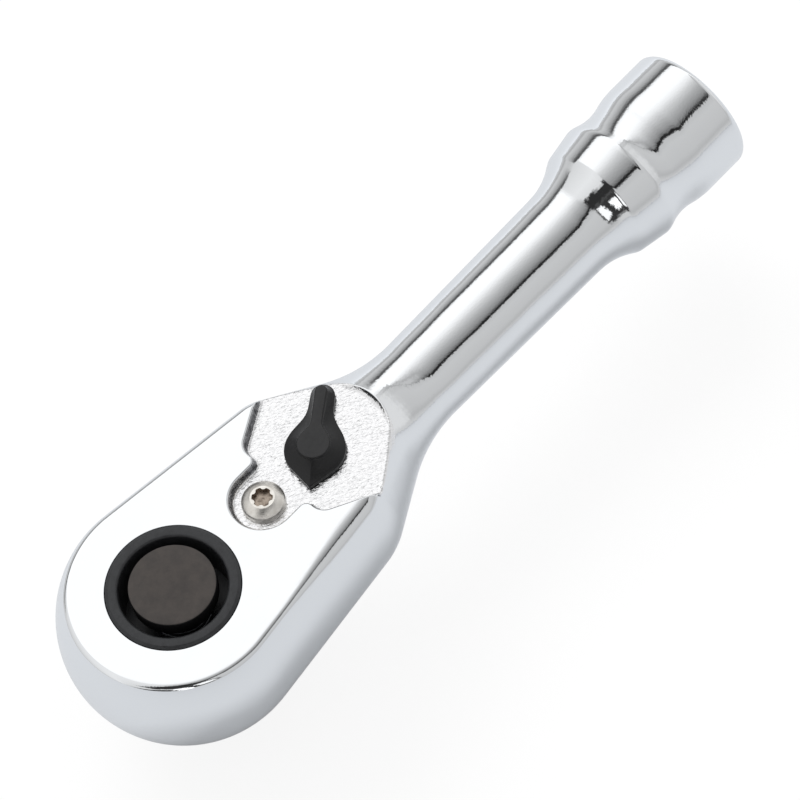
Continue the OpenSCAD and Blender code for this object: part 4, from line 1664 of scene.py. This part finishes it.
@dataclass
class PawlScrew:
    """The domed screw that the pawl pivots on."""

    layout: Layout
    head_r: float = 2.95
    head_h: float = 2.2
    rim: float = 0.85
    land_r: float = 1.68
    recess_r: float = 1.42
    recess_depth: float = 1.2
    recess_turn: float = 8

    def recess(self) -> bpy.types.Object:
        """A six-lobed cutter for the driver recess.

        Returns:
            The cutter.
        """
        a = np.linspace(0, 2 * math.pi, 180, endpoint=False)
        gap = (a + math.pi / 6) % (math.pi / 3) - math.pi / 6
        notch, at = 0.3 * self.recess_r, 1.12 * self.recess_r
        off = at * np.sin(gap)
        near = at * np.cos(gap) - np.sqrt(np.maximum(notch ** 2 - off ** 2, 0))
        r = np.where(np.abs(off) < notch, near, self.recess_r)
        r = np.minimum((np.roll(r, 1) + 2 * r + np.roll(r, -1)) / 4, self.recess_r)
        b = a + math.radians(30 + self.recess_turn)
        outline = np.column_stack([self.layout.pivot_x + r * np.cos(b), r * np.sin(b)])
        top = self.layout.floor_z + self.head_h
        return prism("recess", outline, top - self.recess_depth, top + 1)

    def build(self) -> None:
        """Builds and hands over the screw."""
        lay = self.layout
        dome = self.head_h - self.rim
        ball = (self.head_r ** 2 + dome ** 2) / (2 * dome)
        base, top = lay.floor_z, lay.floor_z + self.head_h
        start = math.degrees(math.asin(self.head_r / ball))
        land = math.degrees(math.acos(self.land_r / ball))
        land_z = top - ball + math.sqrt(ball ** 2 - self.land_r ** 2)
        cap = arc((0, top - ball), ball, 90 - start + 3, land, 22)
        profile = np.vstack([
            [(lay.shank_r - 0.2, lay.head_z0 + 1.4), (lay.shank_r, lay.head_z0 + 1.6),
             (lay.shank_r, base), (self.head_r - 0.12, base), (self.head_r, base + 0.12),
             (self.head_r, base + self.rim - 0.12), (self.head_r - 0.03, base + self.rim)], cap,
            [(0.07, land_z)]])
        piece = turned("pawl_screw_domed", profile, 144, (lay.pivot_x, 0))
        combine(piece, [self.recess()], Cut.AWAY)
        smooth_by_angle(piece, 25)
        # The recess's faces take the second material, tinted and painted darker for the shade in
        # it.
        for face in piece.data.polygons:
            x, y, z = (v / MM for v in face.center)
            r = math.hypot(x - lay.pivot_x, y)
            sunk = r < self.recess_r + 0.02 and base < z < land_z - 0.04
            face.material_index = 1 if sunk else 0
        hand_over(piece, Body.HOUSING, ["pawl_screw"], [STAINLESS, TINTED_SHADED_RECESS])


# Carried CAD nodes

CARRIED: dict[str, Finish] = {
    "thrust_washer": SPRING_STEEL, "hub_seal": NITRILE, "gear_cover": BLACK_OXIDE,
    "cover_seal": NITRILE, "cover_ring": SPRING_STEEL, "release_rod": SPRING_STEEL,
    "pawl": BLACK_OXIDE, "pawl_sleeve": SPRING_STEEL, "screw_seal": NITRILE,
    "lever_seal": NITRILE, "lever_clip": SPRING_STEEL, "lever_plunger": STAINLESS}


def dress_carried() -> None:
    """Gives every CAD node that stays its material."""
    for name, finish in CARRIED.items():
        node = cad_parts[name]
        node.data.materials.clear()
        node.data.materials.append(finish.shared())
        LOG.info("%s: CAD node dressed in %s", name, finish.title)


# Studio

@dataclass(frozen=True)
class Patch:
    """A patch in the light tent: where it is, in degrees and in x, how bright, and how soft."""

    low: float
    high: float
    x_low: float
    x_high: float
    light: float
    soft: float
    x_soft: float


Stops = tuple[Point2, ...]


class LightTent:
    """The light round the object: plain white to the camera, with panels and gaps for the metal.

    A direction is given by its angle from straight up, in degrees towards the camera's side of
    the handle, and by its share along the handle, x.
    """

    # Brightness against the angle: the far panel, its dark edge, the long overhead panel that
    # falls off towards the gap that the camera looks through, and the front panel. Then the
    # cloth at the near end.
    PANELS: ClassVar[Stops] = (
        (-180, 0.60), (-140, 0.70), (-125, 0.68), (-100, 0.66), (-90, 0.64), (-85, 0.46),
        (-81, 0.66), (-76, 0.60), (-67, 0.40), (-60, 0.08), (-57, 0.14), (-54, 1.06), (-48, 1.2),
        (-24, 1.16), (-14, 0.98), (-4, 0.72), (10, 0.48), (24, 0.30), (30, 0.15), (32, 0.02),
        (36, 0.02), (38, 0.58), (48, 0.64), (74, 0.60), (83, 0.52), (90, 0.66), (100, 0.70),
        (120, 0.70), (150, 0.64), (180, 0.60))
    NEAR_END: ClassVar[Stops] = (
        (-180, 0.60), (-80, 0.68), (-45, 0.84), (-20, 0.92), (0, 0.82), (30, 0.72), (80, 0.68),
        (180, 0.60))
    # How far the panels reach towards the near end, at each of those angles.
    NEAR_EDGE: ClassVar[Stops] = (
        (-180, 0.35), (-62, 0.35), (-54, 0.03), (-15, 0.10), (0, 0.21), (30, 0.36), (60, 0.45),
        (180, 0.45))
    # The gap's angle in the panels above, and its true angle at each x, to which the shift is
    # added because a curve holds nothing below 0. The gap runs along the handle and bends away
    # at both ends.
    GAP: ClassVar[float] = 34.0
    GAP_SHIFT: ClassVar[float] = 40.0
    GAP_LINE: ClassVar[Stops] = (
        (-1, 54), (-0.6, 54), (-0.32, 58), (0, 68), (0.14, 68.5), (0.2, 71), (0.27, 74),
        (0.34, 74), (0.42, 67), (0.59, 49), (0.64, 33), (0.71, 15), (1, 12))
    # Where the gap closes at its far end, in the same bent angle.
    CLOSED: ClassVar[Patch] = Patch(14, 37.5, 0.46, 2, 0.6, 6, 0.1)
    # From where to where the panels stretch beside the gap: the overhead panel's bright part and
    # the front panel's lower edge. Above and below them they stay as they are. The stretch above
    # the gap is at least the last of these wide.
    OVERHEAD: ClassVar[float] = -22.0
    FRONT_EDGE: ClassVar[float] = 90.0
    LEAST: ClassVar[float] = 6.0
    # In front of the panels, with wavy edges: the cloth at the far end, and the dark stand at the
    # near end with a bright window and a bright slit in it.
    DRAPED: ClassVar[tuple[Patch, ...]] = (
        Patch(-30, 85, 0.77, 2, 0.8, 12, 0.07),
        Patch(-80, -50, 0.74, 2, 0.7, 4, 0.08),
        Patch(4, 31, -0.78, -0.2, 0.03, 4, 0.05),
        Patch(28, 78, -0.72, -0.26, 0.04, 4, 0.03),
        Patch(36, 68, -0.47, -0.3, 1.15, 4, 0.02),
        Patch(40, 68, -0.78, -0.6, 1.1, 4, 0.02))
    # How wavy they are, in degrees and in shares of x, and how fast.
    WAVE_TURN: ClassVar[float] = 16.0
    WAVE_X: ClassVar[float] = 0.1
    WAVE_SCALE: ClassVar[float] = 7.0
    # The lens beside a bright wall, seen only in the round nose.
    LENS: ClassVar[tuple[Patch, ...]] = (
        Patch(45, 90.5, -0.99, -0.765, 0.02, 1.5, 0.01),
        Patch(45, 91, -0.755, -0.61, 1.5, 1.5, 0.01))
    # What everything but the metal's mirror sees.
    PLAIN: ClassVar[float] = 0.8

    def build(self) -> None:
        """Builds the tent as the scene's world."""
        world = bpy.data.worlds.new("light_tent")
        bpy.context.scene.world = world
        world.use_nodes = True
        tree = world.node_tree
        tree.nodes.clear()
        way = add_node(tree, "ShaderNodeTexCoord").outputs["Generated"]
        x, y, z = add_node(tree, "ShaderNodeSeparateXYZ", None, way).outputs
        front = add_node(tree, MATH, {"operation": "MULTIPLY"}, y, -1.0).outputs[0]
        turn = add_node(tree, MATH, {"operation": "ARCTAN2"}, front, z).outputs[0]
        turn = add_node(tree, MATH, {"operation": "DEGREES"}, turn).outputs[0]
        bent = self.bent(tree, turn, x)
        panels = self.laid(tree, self.ramp(tree, bent, self.PANELS), self.CLOSED, bent, x)
        reach = add_node(tree, MATH, {"operation": "ADD"}, x,
                         self.ramp(tree, turn, self.NEAR_EDGE)).outputs[0]
        light = self.over(tree, self.ramp(tree, turn, self.NEAR_END), panels,
                          self.between(tree, reach, 0.0, 3.0, 0.08))
        wavy_turn = self.wavy(tree, turn, way, self.WAVE_TURN, self.WAVE_SCALE)
        wavy_x = self.wavy(tree, x, way, self.WAVE_X, 1.3 * self.WAVE_SCALE)
        for patch in self.DRAPED:
            light = self.laid(tree, light, patch, wavy_turn, wavy_x)
        for patch in self.LENS:
            light = self.laid(tree, light, patch, turn, x)
        path = add_node(tree, "ShaderNodeLightPath").outputs
        light = self.over(tree, self.PLAIN, light, path["Is Glossy Ray"])
        light = self.over(tree, light, 1.0, path["Is Camera Ray"])
        shown = add_node(tree, "ShaderNodeBackground", {"Color": light, "Strength": 1.0})
        add_node(tree, "ShaderNodeOutputWorld", None, shown.outputs[0])

    def bent(self, tree: bpy.types.NodeTree, turn: bpy.types.NodeSocket,
             x: bpy.types.NodeSocket) -> bpy.types.NodeSocket:
        """Bends the angle so that the gap follows its line and the panels stretch beside it.

        Args:
            tree: the tree that it goes into.
            turn: the socket with the angle in degrees.
            x: the socket with the direction's share along the handle.

        Returns:
            The socket with the bent angle.
        """
        line = add_node(tree, MATH, {"operation": "SUBTRACT"}, self.ramp(tree, x, self.GAP_LINE),
                        self.GAP_SHIFT).outputs[0]
        start = add_node(tree, MATH, {"operation": "SUBTRACT"}, line, self.LEAST).outputs[0]
        start = add_node(tree, MATH, {"operation": "MINIMUM"}, start, self.OVERHEAD).outputs[0]
        below = add_node(tree, MATH, {"operation": "MINIMUM"}, turn, self.OVERHEAD).outputs[0]
        beyond = add_node(tree, MATH, {"operation": "SUBTRACT"}, turn, self.FRONT_EDGE).outputs[0]
        beyond = add_node(tree, MATH, {"operation": "MAXIMUM"}, beyond, 0.0).outputs[0]
        parts = [below, add_node(tree, RANGE, None, turn, start, line, 0.0,
                                 self.GAP - self.OVERHEAD).outputs[0],
                 add_node(tree, RANGE, None, turn, line, self.FRONT_EDGE, 0.0,
                          self.FRONT_EDGE - self.GAP).outputs[0], beyond]
        total = parts[0]
        for part in parts[1:]:
            total = add_node(tree, MATH, {"operation": "ADD"}, total, part).outputs[0]
        return total

    def wavy(self, tree: bpy.types.NodeTree, value: bpy.types.NodeSocket,
             way: bpy.types.NodeSocket, size: float, scale: float) -> bpy.types.NodeSocket:
        """Shifts a value by a slow noise over the direction.

        Args:
            tree: the tree that it goes into.
            value: the socket with the value.
            way: the socket with the direction.
            size: the whole width of the shift.
            scale: the noise's scale.

        Returns:
            The socket with the shifted value.
        """
        noise = add_node(tree, "ShaderNodeTexNoise", {"Vector": way, "Scale": scale,
                                                      "Detail": 1.0}).outputs[0]
        noise = add_node(tree, MATH, {"operation": "SUBTRACT"}, noise, 0.5).outputs[0]
        return add_node(tree, MATH, {"operation": "MULTIPLY_ADD"}, noise, size, value).outputs[0]

    def over(self, tree: bpy.types.NodeTree, below: Any, above: Any,
             share: bpy.types.NodeSocket) -> bpy.types.NodeSocket:
        """Lays one brightness over another by a share."""
        gap = add_node(tree, MATH, {"operation": "SUBTRACT"}, above, below).outputs[0]
        return add_node(tree, MATH, {"operation": "MULTIPLY_ADD"}, gap, share, below).outputs[0]

    def laid(self, tree: bpy.types.NodeTree, below: bpy.types.NodeSocket, patch: Patch,
             turn: bpy.types.NodeSocket, x: bpy.types.NodeSocket) -> bpy.types.NodeSocket:
        """Lays a patch over a brightness.

        Args:
            tree: the tree that it goes into.
            below: the socket with the brightness.
            patch: the patch.
            turn: the socket with the angle in degrees.
            x: the socket with the direction's share along the handle.

        Returns:
            The socket with the new brightness.
        """
        inside = add_node(tree, MATH, {"operation": "MULTIPLY"},
                          self.between(tree, turn, patch.low, patch.high, patch.soft),
                          self.between(tree, x, patch.x_low, patch.x_high, patch.x_soft))
        return self.over(tree, below, patch.light, inside.outputs[0])

    def between(self, tree: bpy.types.NodeTree, value: bpy.types.NodeSocket, low: float,
                high: float, soft: float) -> bpy.types.NodeSocket:
        """A share that is 1 where a value is between two others.

        Args:
            tree: the tree that it goes into.
            value: the socket with the value.
            low: the lower limit.
            high: the upper limit.
            soft: half the width over which each end fades.

        Returns:
            The socket with the share.
        """
        soft_step = {"interpolation_type": "SMOOTHSTEP"}
        rise = add_node(tree, RANGE, soft_step, value, low - soft, low + soft)
        fall = add_node(tree, RANGE, soft_step, value, high - soft, high + soft, 1.0, 0.0)
        return add_node(tree, MATH, {"operation": "MULTIPLY"}, rise.outputs[0],
                        fall.outputs[0]).outputs[0]

    def ramp(self, tree: bpy.types.NodeTree, place: bpy.types.NodeSocket,
             stops: Stops) -> bpy.types.NodeSocket:
        """A course of values in straight lines between stops.

        Args:
            tree: the tree that it goes into.
            place: the socket with the place, in the same units as the stops.
            stops: places and the values there, none below 0.

        Returns:
            The socket with the value.
        """
        low, high = stops[0][0], stops[-1][0]
        share = add_node(tree, RANGE, None, place, float(low), float(high))
        curve = add_node(tree, "ShaderNodeFloatCurve", {"Value": share.outputs[0]})
        line = curve.mapping.curves[0]
        most = max(v for _, v in stops)
        for i, (at, value) in enumerate(stops):
            where = ((at - low) / (high - low), value / most)
            if i in (0, len(stops) - 1):
                line.points[0 if i == 0 else -1].location = where
            else:
                line.points.new(*where)
        for point in line.points:
            point.handle_type = "VECTOR"
        curve.mapping.update()
        return add_node(tree, MATH, {"operation": "MULTIPLY"}, curve.outputs[0], most).outputs[0]


@dataclass
class Studio:
    """The camera, the floor and the light."""

    azimuth: float = -34.910
    elevation: float = 60.377
    roll: float = -13.816
    distance: float = 600
    aim: tuple[float, float, float] = (39.108, -4.059, 18.2)
    focal_pixels: float = 4553.99
    picture: int = 800
    floor_z: float = -14
    floor_half: float = 4000
    floor_glow: float = 0.86
    lamp_place: tuple[float, float, float] = (350, 750, 950)
    lamp_aim: tuple[float, float, float] = (30, 0, 0)
    lamp_size: tuple[float, float] = (900, 600)
    lamp_watts: float = 9.0

    def camera(self) -> None:
        """Sets up the camera at the photograph's viewing angle."""
        a, e, roll = (math.radians(v) for v in (self.azimuth, self.elevation, self.roll))
        back = Vector((math.sin(a) * math.cos(e), -math.cos(a) * math.cos(e), math.sin(e)))
        right = Vector((math.cos(a), math.sin(a), 0))
        up = back.cross(right)
        x = right * math.cos(roll) + up * math.sin(roll)
        y = up * math.cos(roll) - right * math.sin(roll)
        place = (Vector(self.aim) + back * self.distance) * MM
        camera = bpy.data.objects.new("camera", bpy.data.cameras.new("camera"))
        camera.matrix_world = Matrix((x, y, back)).transposed().to_4x4()
        camera.matrix_world.translation = place
        camera.data.sensor_width = 36
        camera.data.lens = self.focal_pixels / self.picture * camera.data.sensor_width
        camera.data.clip_start, camera.data.clip_end = 0.01, 100
        bpy.context.scene.collection.objects.link(camera)
        bpy.context.scene.camera = camera

    def floor(self) -> None:
        """Lays a plain white floor that keeps the object's soft shadow and is clear from below."""
        size, z = self.floor_half * MM, self.floor_z * MM
        mesh = bpy.data.meshes.new("floor")
        mesh.from_pydata([(-size, -size, z), (size, -size, z), (size, size, z), (-size, size, z)],
                         [], [(0, 1, 2, 3)])
        floor = bpy.data.objects.new("floor", mesh)
        bpy.context.scene.collection.objects.link(floor)
        paint = bpy.data.materials.new("matt_white_board")
        paint.use_nodes = True
        tree = paint.node_tree
        tree.nodes.clear()
        seen = add_node(tree, "ShaderNodeLightPath").outputs["Is Camera Ray"]
        board = add_node(tree, "ShaderNodeBsdfDiffuse", {"Color": linear("#d3d5d8")})
        white = add_node(tree, "ShaderNodeBsdfDiffuse", {"Color": linear("#fafafa")})
        glow = add_node(tree, "ShaderNodeEmission", {"Color": (1, 1, 1, 1), "Strength": 1.0})
        shown = add_node(tree, "ShaderNodeMixShader", None, self.floor_glow, white.outputs[0],
                         glow.outputs[0])
        mixed = add_node(tree, "ShaderNodeMixShader", None, seen, board.outputs[0],
                         shown.outputs[0])
        below = add_node(tree, "ShaderNodeNewGeometry").outputs["Backfacing"]
        clear = add_node(tree, "ShaderNodeBsdfTransparent")
        whole = add_node(tree, "ShaderNodeMixShader", None, below, mixed.outputs[0],
                         clear.outputs[0])
        add_node(tree, "ShaderNodeOutputMaterial", None, whole.outputs[0])
        mesh.materials.append(paint)

    def lamp(self) -> None:
        """Hangs one soft lamp on the far side, for the shadow and the matt pieces."""
        light = bpy.data.lights.new("soft_panel", "AREA")
        light.shape, light.energy = "RECTANGLE", self.lamp_watts
        light.size, light.size_y = (v * MM for v in self.lamp_size)
        lamp = bpy.data.objects.new("soft_panel", light)
        place, aim = (Vector([v * MM for v in p]) for p in (self.lamp_place, self.lamp_aim))
        facing = (place - aim).to_track_quat("Z", "Y").to_matrix().to_4x4()
        lamp.matrix_world = Matrix.Translation(place) @ facing
        lamp.visible_glossy = False
        bpy.context.scene.collection.objects.link(lamp)

    def build(self) -> None:
        """Sets up the whole studio."""
        bpy.context.scene.view_settings.view_transform = "Standard"
        self.camera()
        self.floor()
        LightTent().build()
        self.lamp()


def main() -> None:
    """Builds every piece in order, then the studio."""
    logging.basicConfig(level=logging.INFO, format="%(message)s")
    layout = Layout()
    for part in (Housing(layout), Drive(layout), Lever(layout), PawlScrew(layout)):
        part.build()
    dress_carried()
    Studio().build()


if __name__ == "__main__":
    main()
